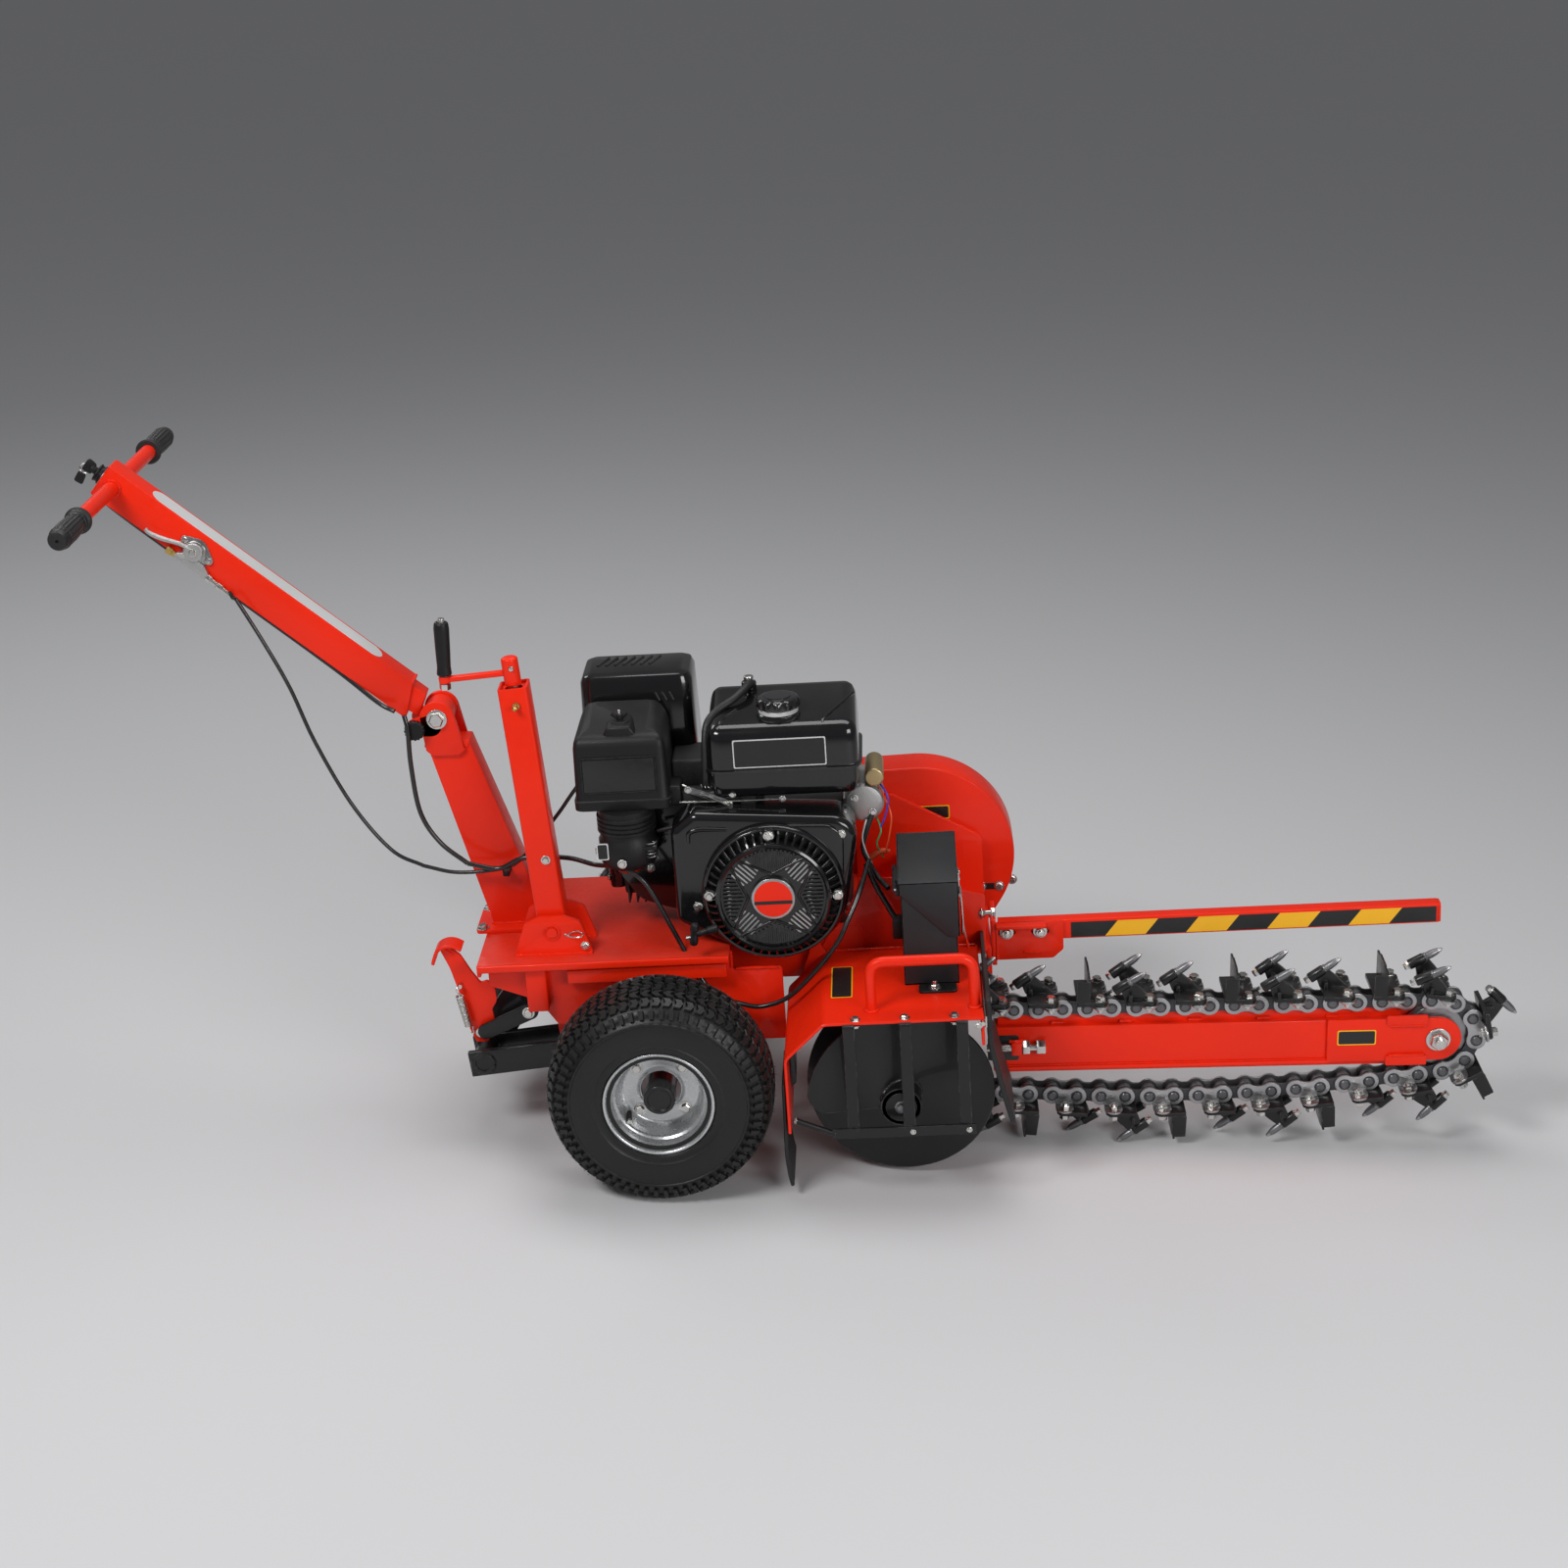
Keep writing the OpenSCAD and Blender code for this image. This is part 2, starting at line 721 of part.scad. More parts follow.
// Place of pin k of the chain, as [x, z] along the boom: top run, nose, lower run, sprocket
function pin_at(k) =
    let (run = boom_run / chain_pitch, half = teeth / 2, s = k + phase)
    s < 0 ? round_point(0, 90 - s * link_angle) :
    s < run ? [s * chain_pitch, sprocket_r] :
    s < run + half ? round_point(boom_run, 90 - (s - run) * link_angle) :
    s < 2 * run + half ? let (turn = sag_half * (1 - 2 * (s - run - half) / run))
        [boom_run / 2 + sag_r * sin(turn), sag_r - sprocket_r - sag - sag_r * cos(turn)] :
    round_point(0, 270 - (s - 2 * run - half) * link_angle);

link_count = 54;

// Puts the children on link k, with +X along the link and +Z away from the boom
module on_link(k) {
    a = pin_at(k);
    b = pin_at(k + 1);
    mid = (a + b) / 2;
    on_boom() translate([mid[0], 0, mid[1]]) rotate([0, -atan2(b[1] - a[1], b[0] - a[0]), 0]) children();
}

// Outline of a link plate with two pin holes of a given radius
module link_plate(hole_r)
    difference() {
        union() {
            strip([-chain_pitch / 2, 0], [chain_pitch / 2, 0], 24);
            for (side = [-1, 1])
                translate([side * chain_pitch / 2, 0]) circle(r = 17);
        }
        for (side = [-1, 1])
            if (hole_r > 0) translate([side * chain_pitch / 2, 0]) circle(r = hole_r);
    }

// Inner links: two plates joined by rollers
module inner_links() color(steel)
    for (k = [1 : 2 : link_count - 1])
        on_link(k) difference() {
            union() {
                for (side = [-1, 1])
                    plate_y(side * 12 - 2, side * 12 + 2) link_plate(0);
                for (side = [-1, 1])
                    bar_y(roller_r, -10, 10, [side * chain_pitch / 2, 0]);
            }
            for (side = [-1, 1])
                bar_y(8.5, -15, 15, [side * chain_pitch / 2, 0]);
        }

// Outer links: two plates joined by their pins
module outer_links() color(steel)
    for (k = [0 : 2 : link_count - 2])
        on_link(k) {
            for (side = [-1, 1])
                plate_y(side * 16.4 - 2, side * 16.4 + 2) link_plate(0);
            for (side = [-1, 1])
                bar_y(8, -21, 21, [side * chain_pitch / 2, 0]);
        }

// Bent scoop with a spike in the middle, standing on a cutter's base plate
module blade() {
    block([-21, -48, 8], [-17, 48, 52]);
    block([-21, -12, 52], [-17, 12, cutter_h - 17.4]);
    for (side = [-1, 1])
        block([-38, side * 46 - 2, 8], [-21, side * 46 + 2, 52]);
}

// Conical pick in a holder, pointing along the chain's travel, on a gusset
module pick(y) {
    block([-38, y - 4, 8], [-10, y + 4, 24]);
    translate([-47, y, 31]) rotate([0, 55, 0]) {
        translate([0, 0, -14]) cylinder(r = 10, h = 28);
        translate([0, 0, 14]) cylinder(r1 = 8, r2 = 2.5, h = 28);
    }
}

// Cutters, one on each outer link: a blade, then two picks side by side, then one pick
module cutters() color(black)
    for (k = [0 : 2 : link_count - 2])
        on_link(k) translate([0, 0, 17.4]) {
            block([-40, -50, 0], [14, 50, 8]);
            if (k % 3 == 2) blade();
            if (k % 3 == 0) pick(0);
            if (k % 3 == 1)
                for (side = [-1, 1]) pick(side * 36);
        }

// ---- Guard bar ----

// Slotted bracket on the drive frame
module guard_bracket() color(red)
    difference() {
        union() {
            block([566, -48, 258], [574, 40, 345]);
            block([574, -46, 268], [690, -40, 338]);
        }
        for (x = [592, 650])
            block([x - 16, -50, 314], [x + 16, -39, 325]);
    }

// Striped bar over the chain
module guard_bar() color(red)
    difference() {
        block([578, -39.8, 300], [1340, -14, 336]);
        block([576, -36, 304], [1341, -18, 332]);
    }

// ---- Small parts ----

// Bolts, nuts and pins that hold the machine together
module fasteners() color(steel) {
    bar_y(8, -34, 34, fold);
    for (side = [-1, 1])
        bar_y(13, side * 38 - 4.8, side * 38 + 4.8, fold);
    for (x = [-318, -208], y = [-42, 42])
        translate([x, y, deck_z + 8]) cylinder(r = 8, h = 7);
    for (x = [330, 411, 492])
        translate([x, -352, 313]) cylinder(r = 7, h = 6);
    for (x = [592, 650])
        bar_y(9, -50, -46.2, [x, 319.5]);
    bar_y(5, -124, -104, [-328, 206]);
    translate([566, boom_y - 29, 127]) rotate([0, 90, 0]) cylinder(r = 7, h = 14);
}

// Throttle cable and wiring loom, as bands
module cables() color(black) {
    cable_path = [[-680, 985], [-650, 880], [-590, 740], [-500, 600], [-400, 500], [-345, 470]];
    loom_path = [[-432, 735], [-425, 640], [-400, 560], [-352, 500]];
    plate_y(-46, -40) band(cable_path, 6);
    plate_y(-58, -48) band(loom_path, 10);
}

// A flat band through a list of points of x and z
module band(path, w)
    for (i = [0 : len(path) - 2])
        strip(path[i], path[i + 1], w);

stand() deck();
stand() drive_frame();
stand() lower_column();
stand() jack_ears();
stand() arm_hangers();
stand() swing_arm();
stand() axle();
stand() near_rim();
stand() near_tyre();
stand() far_rim();
stand() far_tyre();
stand() jack_tube();
stand() jack_ram();
stand() crank();
stand() crank_grip();
stand() upper_column();
stand() cross_bar();
stand() hand_grips();
stand() throttle_mount();
stand() throttle_lever();
stand() key_switch();
stand() ignition_key();
stand() lock_knob();
stand() foot_latch();
stand() latch_spring();
stand() crankcase();
stand() blower_housing();
stand() recoil_cover();
stand() recoil_grip();
stand() cylinder_head();
stand() air_filter();
stand() muffler();
stand() fuel_tank();
stand() fuel_cap();
stand() starter_motor();
stand() engine_shaft();
stand() belt_cover();
stand() jackshaft();
stand() drive_belt();
stand() final_chain();
stand() head_shaft();
stand() auger();
stand() auger_hood();
stand() lift_handle();
stand() auger_cage();
stand() rubber_flaps();
stand() battery_box();
stand() battery();
stand() battery_lid();
stand() lid_latch();
stand() boom();
stand() nose_roller();
stand() inner_links();
stand() outer_links();
stand() cutters();
stand() guard_bracket();
stand() guard_bar();
stand() fasteners();
stand() cables();
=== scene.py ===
import json
import math
import random

import bmesh
import bpy
from mathutils import Matrix, Vector
from mathutils.geometry import convex_hull_2d, tessellate_polygon


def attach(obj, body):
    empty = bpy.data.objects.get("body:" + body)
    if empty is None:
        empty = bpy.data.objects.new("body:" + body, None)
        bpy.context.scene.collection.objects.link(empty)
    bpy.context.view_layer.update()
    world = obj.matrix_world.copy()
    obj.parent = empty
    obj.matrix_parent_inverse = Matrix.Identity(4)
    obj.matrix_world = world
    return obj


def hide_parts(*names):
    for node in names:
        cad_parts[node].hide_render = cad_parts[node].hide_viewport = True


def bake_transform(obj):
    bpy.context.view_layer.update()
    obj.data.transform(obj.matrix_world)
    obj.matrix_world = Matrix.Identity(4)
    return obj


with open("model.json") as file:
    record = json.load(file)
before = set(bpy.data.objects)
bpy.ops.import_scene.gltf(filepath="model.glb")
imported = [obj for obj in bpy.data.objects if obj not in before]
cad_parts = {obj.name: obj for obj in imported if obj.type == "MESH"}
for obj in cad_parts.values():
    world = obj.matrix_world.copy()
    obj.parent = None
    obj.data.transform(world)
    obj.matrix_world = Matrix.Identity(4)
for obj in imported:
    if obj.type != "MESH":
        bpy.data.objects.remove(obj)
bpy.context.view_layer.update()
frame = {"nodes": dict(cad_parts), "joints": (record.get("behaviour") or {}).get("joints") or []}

scene = bpy.context.scene
dice = random.Random(11)

# ---- Frames. Every piece is drawn in the level machine's millimetres: axle at x = 0, +X to the boom tip ----

AXLE_Z = 190
JOINTS = {joint["name"]: joint for joint in frame["joints"]}
forward = Vector(JOINTS["guard_slide"]["axis"])
axle_at = Vector(JOINTS["near_wheel_spin"]["pos_m"]) * Vector((1, 0, 1))
nose_up = math.atan2(forward.z, forward.x)
MACHINE = (
    Matrix.Translation(axle_at)
    @ Matrix.Rotation(-nose_up, 4, "Y")
    @ Matrix.Scale(0.001, 4)
    @ Matrix.Translation((0, 0, -AXLE_Z))
)
TO_MACHINE = MACHINE.inverted()
Y = Vector((0, 1, 0))
NEAR = (0, -1, 0)
FAR = (0, 1, 0)
UP = (0, 0, 1)


def pivot(joint):
    """A joint's place, in machine millimetres."""
    return TO_MACHINE @ Vector(JOINTS[joint]["pos_m"])


def axis(joint):
    """A joint's direction in the machine's frame."""
    return (TO_MACHINE.to_3x3() @ Vector(JOINTS[joint]["axis"])).normalized()


def local_frame(at, x_axis, y_axis):
    """Matrix from a local frame, given by its origin and two axes, to the machine's."""
    turn = Matrix((x_axis, y_axis, x_axis.cross(y_axis))).transposed()
    return Matrix.Translation(at) @ turn.to_4x4()


def span(node):
    """Lowest and highest corner of a CAD node, in machine millimetres."""
    points = [TO_MACHINE @ vertex.co for vertex in frame["nodes"][node].data.vertices]
    low = Vector([min(p[i] for p in points) for i in range(3)])
    high = Vector([max(p[i] for p in points) for i in range(3)])
    return low, high


KEY_ALONG_COLUMN = 625
column_axis = axis("key_turn")
COLUMN = local_frame(pivot("key_turn") - KEY_ALONG_COLUMN * column_axis, column_axis, -Y)
jack_up = -axis("jack_extend")
JACK = local_frame(pivot("jack_tilt"), Y.cross(jack_up), Y)
BOOM = local_frame(pivot("auger_spin"), axis("boom_tension"), Y)
FOLD = pivot("handle_fold")
ENGINE = pivot("engine_spin")
MID = pivot("mid_shaft_spin")
HEAD = pivot("auger_spin")
BOOM_RUN = (pivot("nose_spin") - HEAD).length

# ---- Materials ----


class Graph:
    """A material's node tree, built a node at a time."""

    def __init__(self, name):
        self.material = bpy.data.materials.new(name)
        self.material.use_nodes = True
        self.tree = self.material.node_tree
        self.shader = self.tree.nodes["Principled BSDF"]
        self.place = self.node("TexCoord").outputs["Object"]

    def node(self, kind, settings=None, **feeds):
        made = self.tree.nodes.new("ShaderNode" + kind)
        for key, value in (settings or {}).items():
            setattr(made, key, value)
        for key, value in feeds.items():
            self.feed(made.inputs[key.replace("_", " ")], value)
        return made

    def feed(self, socket, value):
        if isinstance(value, bpy.types.NodeSocket):
            self.tree.links.new(value, socket)
        else:
            socket.default_value = value

    def noise(self, scale, detail=4.0, stretch=(1, 1, 1)):
        where = self.node("Mapping", Vector=self.place, Scale=stretch).outputs[0]
        return self.node("TexNoise", Vector=where, Scale=scale, Detail=detail).outputs["Fac"]

    def between(self, value, low, high, out_low=0.0, out_high=1.0):
        made = self.node("MapRange", Value=value)
        for key, number in zip(("From Min", "From Max", "To Min", "To Max"),
                               (low, high, out_low, out_high)):
            made.inputs[key].default_value = number
        return made.outputs[0]

    def times(self, a, b):
        made = self.node("Math", {"operation": "MULTIPLY"})
        self.feed(made.inputs[0], a)
        self.feed(made.inputs[1], b)
        return made.outputs[0]

    def mix(self, share, a, b):
        return self.node("MixRGB", Fac=share, Color1=a, Color2=b).outputs[0]


def surface(name, colour, rough, metal=0.0, coat=0.0, shade=0.75, grain=60.0, bump=0.1, edge_wear_and_highlight_colour=None, edge_wear_and_highlight_share=0.0,
            dust=0.0, stretch=(1, 1, 1), shine=0.5):
    """A surface: blotches in the colour, grain in roughness and bump, edges that are part rubbed through and
    part painted edge highlight, and settled dust.
    """
    graph = Graph(name)
    colour = (*colour, 1)
    darker = (*[c * shade for c in colour[:3]], 1)
    blotch = graph.noise(6, 6)
    fine = graph.noise(grain, 8, stretch)
    tint = graph.mix(graph.between(blotch, 0.35, 0.7), colour, darker)
    # Edge colour mixed in at noisy spots along rounded edges: part rubbed paint, part painted highlight where
    # light would catch the edge.
    if edge_wear_and_highlight_colour:
        rounded = graph.node("Bevel", {"samples": 4}, Radius=0.0016).outputs[0]
        facing_out = graph.node("NewGeometry").outputs["Normal"]
        same = graph.node("VectorMath", {"operation": "DOT_PRODUCT"})
        graph.feed(same.inputs[0], rounded)
        graph.feed(same.inputs[1], facing_out)
        edge = graph.between(same.outputs["Value"], 0.995, 0.93)
        edge_wear_and_highlight_mask = graph.times(edge, graph.between(graph.noise(90, 6), 0.45, 0.6, 0, edge_wear_and_highlight_share))
        tint = graph.mix(edge_wear_and_highlight_mask, tint, (*edge_wear_and_highlight_colour, 1))
    if dust:
        slope = graph.node("SeparateXYZ", Vector=graph.node("NewGeometry").outputs["Normal"]).outputs["Z"]
        lying = graph.times(graph.between(slope, 0.3, 1.0),
                            graph.between(graph.noise(14, 8), 0.35, 0.75, 0, dust))
        tint = graph.mix(lying, tint, (0.23, 0.2, 0.17, 1))
    graph.feed(graph.shader.inputs["Base Color"], tint)
    graph.feed(graph.shader.inputs["Roughness"], graph.between(fine, 0.3, 0.7, rough * 0.8,
                                                               min(1, rough * 1.25)))
    graph.feed(graph.shader.inputs["Metallic"], metal)
    graph.feed(graph.shader.inputs["Specular IOR Level"], shine)
    graph.feed(graph.shader.inputs["Coat Weight"], coat)
    graph.feed(graph.shader.inputs["Coat Roughness"], 0.06)
    bumped = graph.node("Bump", Height=fine, Strength=bump, Distance=0.001).outputs[0]
    graph.feed(graph.shader.inputs["Normal"], bumped)
    return graph.material


# Each paint's edge colour is part rubbed edge and part painted edge highlight; on the black, grey and steel
# paints it is lighter than the paint.
PAINTS = {
    "red_paint": surface("red_paint", (0.88, 0.022, 0.003), 0.38, coat=0.16, shade=0.9, grain=90, bump=0.04,
                         shine=0.22, edge_wear_and_highlight_colour=(0.45, 0.03, 0.015), edge_wear_and_highlight_share=0.45),
    "black_paint": surface("black_paint", (0.009, 0.009, 0.01), 0.36, coat=0.2, grain=140, bump=0.1,
                           shine=0.35, edge_wear_and_highlight_colour=(0.16, 0.16, 0.16), edge_wear_and_highlight_share=0.5, dust=0.03),
    "engine_black": surface("engine_black", (0.006, 0.006, 0.007), 0.16, coat=0.6, grain=30, bump=0.02,
                            shine=0.3, edge_wear_and_highlight_colour=(0.12, 0.12, 0.12), edge_wear_and_highlight_share=0.3, dust=0.03),
    "bare_steel": surface("bare_steel", (0.33, 0.33, 0.34), 0.36, metal=1, shade=0.6, grain=180, bump=0.15,
                          edge_wear_and_highlight_colour=(0.75, 0.75, 0.75), edge_wear_and_highlight_share=0.6),
    "zinc": surface("zinc", (0.72, 0.71, 0.68), 0.24, metal=1, shade=0.8, grain=220, bump=0.1),
    "rim_silver": surface("rim_silver", (0.62, 0.63, 0.64), 0.3, metal=0.85, shade=0.88, grain=260,
                          bump=0.06, edge_wear_and_highlight_colour=(0.8, 0.8, 0.8), edge_wear_and_highlight_share=0.3, dust=0.05),
    "cast_alloy": surface("cast_alloy", (0.55, 0.55, 0.54), 0.45, metal=0.9, shade=0.75, grain=420,
                          bump=0.5),
    "cast_dark": surface("cast_dark", (0.03, 0.03, 0.032), 0.55, metal=0.3, grain=380, bump=0.6, dust=0.1),
    "tyre_rubber": surface("tyre_rubber", (0.009, 0.009, 0.009), 0.42, shade=0.7, grain=240, bump=0.25,
                           shine=0.4, edge_wear_and_highlight_colour=(0.05, 0.05, 0.05), edge_wear_and_highlight_share=0.4, dust=0.05),
    "soft_rubber": surface("soft_rubber", (0.012, 0.012, 0.013), 0.5, grain=320, bump=0.35, dust=0.08),
    "black_plastic": surface("black_plastic", (0.009, 0.009, 0.01), 0.42, grain=650, bump=0.4, shine=0.3,
                             edge_wear_and_highlight_colour=(0.06, 0.06, 0.06), edge_wear_and_highlight_share=0.4, dust=0.06),
    "gloss_black_plastic": surface("gloss_black_plastic", (0.008, 0.008, 0.009), 0.2, coat=0.6, grain=40,
                                   bump=0.03),
    "dark_sheet": surface("dark_sheet", (0.02, 0.021, 0.023), 0.5, grain=500, bump=0.2, shine=0.35,
                          edge_wear_and_highlight_colour=(0.1, 0.1, 0.1), edge_wear_and_highlight_share=0.4, dust=0.02),
    "bright_steel": surface("bright_steel", (0.5, 0.5, 0.5), 0.3, metal=1, shade=0.7, grain=60, bump=0.1,
                            stretch=(1, 14, 1)),
    "red_deck": surface("red_deck", (0.78, 0.024, 0.005), 0.45, coat=0.08, shade=0.84, grain=70, bump=0.06,
                        shine=0.25, edge_wear_and_highlight_colour=(0.4, 0.03, 0.015), edge_wear_and_highlight_share=0.5, dust=0.1),
    "tan_zinc": surface("tan_zinc", (0.55, 0.42, 0.22), 0.36, metal=0.8, shade=0.8, grain=200, bump=0.15),
    "chain_dark": surface("chain_dark", (0.075, 0.075, 0.08), 0.42, metal=0.8, shade=0.6, grain=70,
                          bump=0.12, edge_wear_and_highlight_colour=(0.4, 0.4, 0.4), edge_wear_and_highlight_share=0.5, stretch=(1, 1, 6)),
    "chain_steel": surface("chain_steel", (0.5, 0.5, 0.51), 0.32, metal=0.9, shade=0.6, grain=70, bump=0.12,
                           edge_wear_and_highlight_colour=(0.6, 0.6, 0.6), edge_wear_and_highlight_share=0.6, stretch=(1, 1, 6)),
    "chain_pin": surface("chain_pin", (0.17, 0.17, 0.18), 0.34, metal=0.9, shade=0.7, grain=160, bump=0.2),
    "pick_steel": surface("pick_steel", (0.24, 0.24, 0.25), 0.36, metal=0.8, shade=0.6, grain=60, bump=0.3,
                          edge_wear_and_highlight_colour=(0.5, 0.5, 0.5), edge_wear_and_highlight_share=0.8),
    "cable_black": surface("cable_black", (0.01, 0.01, 0.011), 0.3, coat=0.3, grain=260, bump=0.1,
                           dust=0.04),
    "brass": surface("brass", (0.62, 0.43, 0.14), 0.3, metal=1, grain=200, bump=0.1),
    "amber": surface("amber", (1.0, 0.5, 0.01), 0.35, shade=0.9, grain=120, bump=0.05, dust=0.04),
    "label_black": surface("label_black", (0.012, 0.012, 0.012), 0.35, grain=120, bump=0.05, dust=0.04),
    "label_white": surface("label_white", (0.62, 0.62, 0.62), 0.35, shade=0.92, grain=120, bump=0.04,
                           dust=0.04),
    "wire_blue": surface("wire_blue", (0.02, 0.05, 0.5), 0.4, grain=200, bump=0.1),
    "wire_green": surface("wire_green", (0.03, 0.25, 0.08), 0.4, grain=200, bump=0.1),
    "wire_red": surface("wire_red", (0.8, 0.09, 0.02), 0.4, grain=200, bump=0.1),
}

# ---- Shapes: each returns a bmesh in its own millimetres ----


def arc(centre, radius, start=0.0, end=360.0, steps=24):
    """Points on an arc in a plane, angles in degrees; a full circle leaves out its repeated end."""
    count = steps if abs(end - start) >= 360 else steps + 1
    turns = [math.radians(start + (end - start) * i / steps) for i in range(count)]
    return [(centre[0] + radius * math.cos(t), centre[1] + radius * math.sin(t)) for t in turns]


def soften(outline, radius, closed=True, steps=3):
    """The outline with its corners rounded."""
    made = []
    count = len(outline)
    for i, corner in enumerate(outline):
        if not closed and i in (0, count - 1):
            made.append(tuple(corner))
            continue
        corner = Vector(corner)
        before = Vector(outline[i - 1]) - corner
        after = Vector(outline[(i + 1) % count]) - corner
        cut = min(radius, before.length * 0.45, after.length * 0.45)
        a = corner + before.normalized() * cut
        b = corner + after.normalized() * cut
        for k in range(steps + 1):
            t = k / steps
            made.append(tuple(a * (1 - t) ** 2 + corner * 2 * t * (1 - t) + b * t * t))
    return made


def oblong(x0, y0, x1, y1, radius=0.0, steps=3):
    """The outline of a rectangle, with its corners rounded if there is a radius."""
    corners = [(x0, y0), (x1, y0), (x1, y1), (x0, y1)]
    return soften(corners, radius, steps=steps) if radius else corners


def polar(radius, degrees, height=0.0):
    """A point on a circle about the Z axis."""
    turn = math.radians(degrees)
    return Vector((radius * math.cos(turn), radius * math.sin(turn), height))


def round_at(centre, radius, degrees, y):
    """A point on a circle about a shaft, at a Y value."""
    turn = math.radians(degrees)
    return centre.x + radius * math.cos(turn), y, centre.z + radius * math.sin(turn)


def mirrored(inner, outer):
    """The ranges between two distances from the middle plane, on each side of it."""
    return (-outer, -inner), (inner, outer)


def hull(points):
    """The outline drawn tight round a set of points."""
    return [points[i] for i in convex_hull_2d([Vector(p) for p in points])]


def flowing(points, steps=8):
    """A smooth path through the points."""
    path = [Vector(p) for p in points]
    path = [2 * path[0] - path[1], *path, 2 * path[-1] - path[-2]]
    made = []
    for a, b, c, d in zip(path, path[1:], path[2:], path[3:]):
        for k in range(steps):
            t = k / steps
            made.append(0.5 * (2 * b + (c - a) * t + (2 * a - 5 * b + 4 * c - d) * t**2
                               + (3 * b - a - 3 * c + d) * t**3))
    return made + [path[-2]]


def bevelled(part, width, steps=2):
    """Rounds a part's sharp edges."""
    if width:
        sharp = [e for e in part.edges if e.is_manifold and e.calc_face_angle() > 0.5]
        bmesh.ops.bevel(part, geom=sharp, offset=width, segments=steps, profile=0.5, affect="EDGES",
                        clamp_overlap=True)
    return part


def slab(outline, start, end, edge=1.2, steps=2, holes=(), along="y"):
    """A plate: an outline in the two other axes, given its thickness along one axis."""
    order = {"x": (2, 0, 1), "y": (0, 2, 1), "z": (0, 1, 2)}[along]
    loops = [[Vector((a, b, 0)) for a, b in loop] for loop in (outline, *holes)]
    flat = [p for loop in loops for p in loop]
    part = bmesh.new()
    sides = []
    for depth in (start, end):
        spots = [(p.x, p.y, depth) for p in flat]
        sides.append([part.verts.new([s[i] for i in order]) for s in spots])
    caps = tessellate_polygon(loops) if holes else [range(len(flat))]
    for corners in caps:
        for side in sides:
            part.faces.new([side[i] for i in corners])
    first = 0
    for loop in loops:
        for i in range(len(loop)):
            a, b = first + i, first + (i + 1) % len(loop)
            part.faces.new((sides[0][a], sides[0][b], sides[1][b], sides[1][a]))
        first += len(loop)
    bmesh.ops.recalc_face_normals(part, faces=part.faces)
    return bevelled(part, edge, steps)


def block(low, high, edge=1.2, steps=2):
    """A box between two corners."""
    outline = [(low[0], low[2]), (high[0], low[2]), (high[0], high[2]), (low[0], high[2])]
    return slab(outline, low[1], high[1], edge, steps)


def skin(part, rings, capped=True):
    """Faces between neighbouring rings of vertices; a ring of one vertex is a point."""
    for low, high in zip(rings, rings[1:]):
        count = max(len(low), len(high))
        for i in range(count):
            j = (i + 1) % count
            corners = [low[i % len(low)], low[j % len(low)], high[j % len(high)], high[i % len(high)]]
            part.faces.new(list(dict.fromkeys(corners)))
    if capped:
        for ring in (rings[0], rings[-1]):
            if len(ring) > 2:
                part.faces.new(ring)
    bmesh.ops.remove_doubles(part, verts=part.verts, dist=0.001)
    bmesh.ops.recalc_face_normals(part, faces=part.faces)
    return part


def turned(profile, sides=40, flute=None, capped=True, edge=None):
    """A profile of (radius, height) points turned round Z; flute(turn, height) scales the radius."""
    part = bmesh.new()
    if edge is not None:
        profile = soften(profile, edge, closed=False)
    rings = []
    for radius, height in profile:
        if radius == 0:
            rings.append([part.verts.new((0, 0, height))])
            continue
        ring = []
        for i in range(sides):
            turn = 2 * math.pi * i / sides
            reach = radius * (flute(turn, height) if flute else 1)
            ring.append(part.verts.new((reach * math.cos(turn), reach * math.sin(turn), height)))
        rings.append(ring)
    return skin(part, rings, capped)


def pipe(inner, outer, start, end, sides=40):
    """A straight pipe round Z."""
    wall = [(inner, start), (outer, start), (outer, end), (inner, end), (inner, start)]
    return turned(wall, sides, capped=False)


def drum(radius, height, edge=1.0, sides=40, start=0.0):
    """A short cylinder with rounded rims."""
    profile = oblong(0, start, radius, start + height)
    return turned(profile, sides, edge=edge)


def tube(points, radius, sides=10):
    """A round rod along a path; radius is one number or a list with one for each point."""
    path = [Vector(p) for p in points]
    radii = radius if isinstance(radius, list) else [radius] * len(path)
    part = bmesh.new()
    rings = []
    across = None
    for i, point in enumerate(path):
        ahead = (path[min(i + 1, len(path) - 1)] - path[max(i - 1, 0)]).normalized()
        across = ahead.orthogonal() if across is None else across
        across = (across - ahead * across.dot(ahead)).normalized()
        other = ahead.cross(across)
        ring = []
        for k in range(sides):
            turn = 2 * math.pi * k / sides
            ring.append(part.verts.new(point + (across * math.cos(turn) + other * math.sin(turn))
                                       * radii[i]))
        rings.append(ring)
    return skin(part, rings)


def loft(loops):
    """A closed skin through rings of 3-D points."""
    part = bmesh.new()
    return skin(part, [[part.verts.new(p) for p in loop] for loop in loops])


def ribbon(path, thick, y0, y1, edge=0.8):
    """A bent sheet: a path in x and z given a thickness, between two Y values."""
    points = [Vector(p) for p in path]
    sides = ([], [])
    for i, p in enumerate(points):
        ahead = (points[min(i + 1, len(points) - 1)] - points[max(i - 1, 0)]).normalized()
        normal = Vector((-ahead.y, ahead.x)) * thick / 2
        sides[0].append(tuple(p + normal))
        sides[1].append(tuple(p - normal))
    return slab(sides[0] + sides[1][::-1], y0, y1, edge, 1)


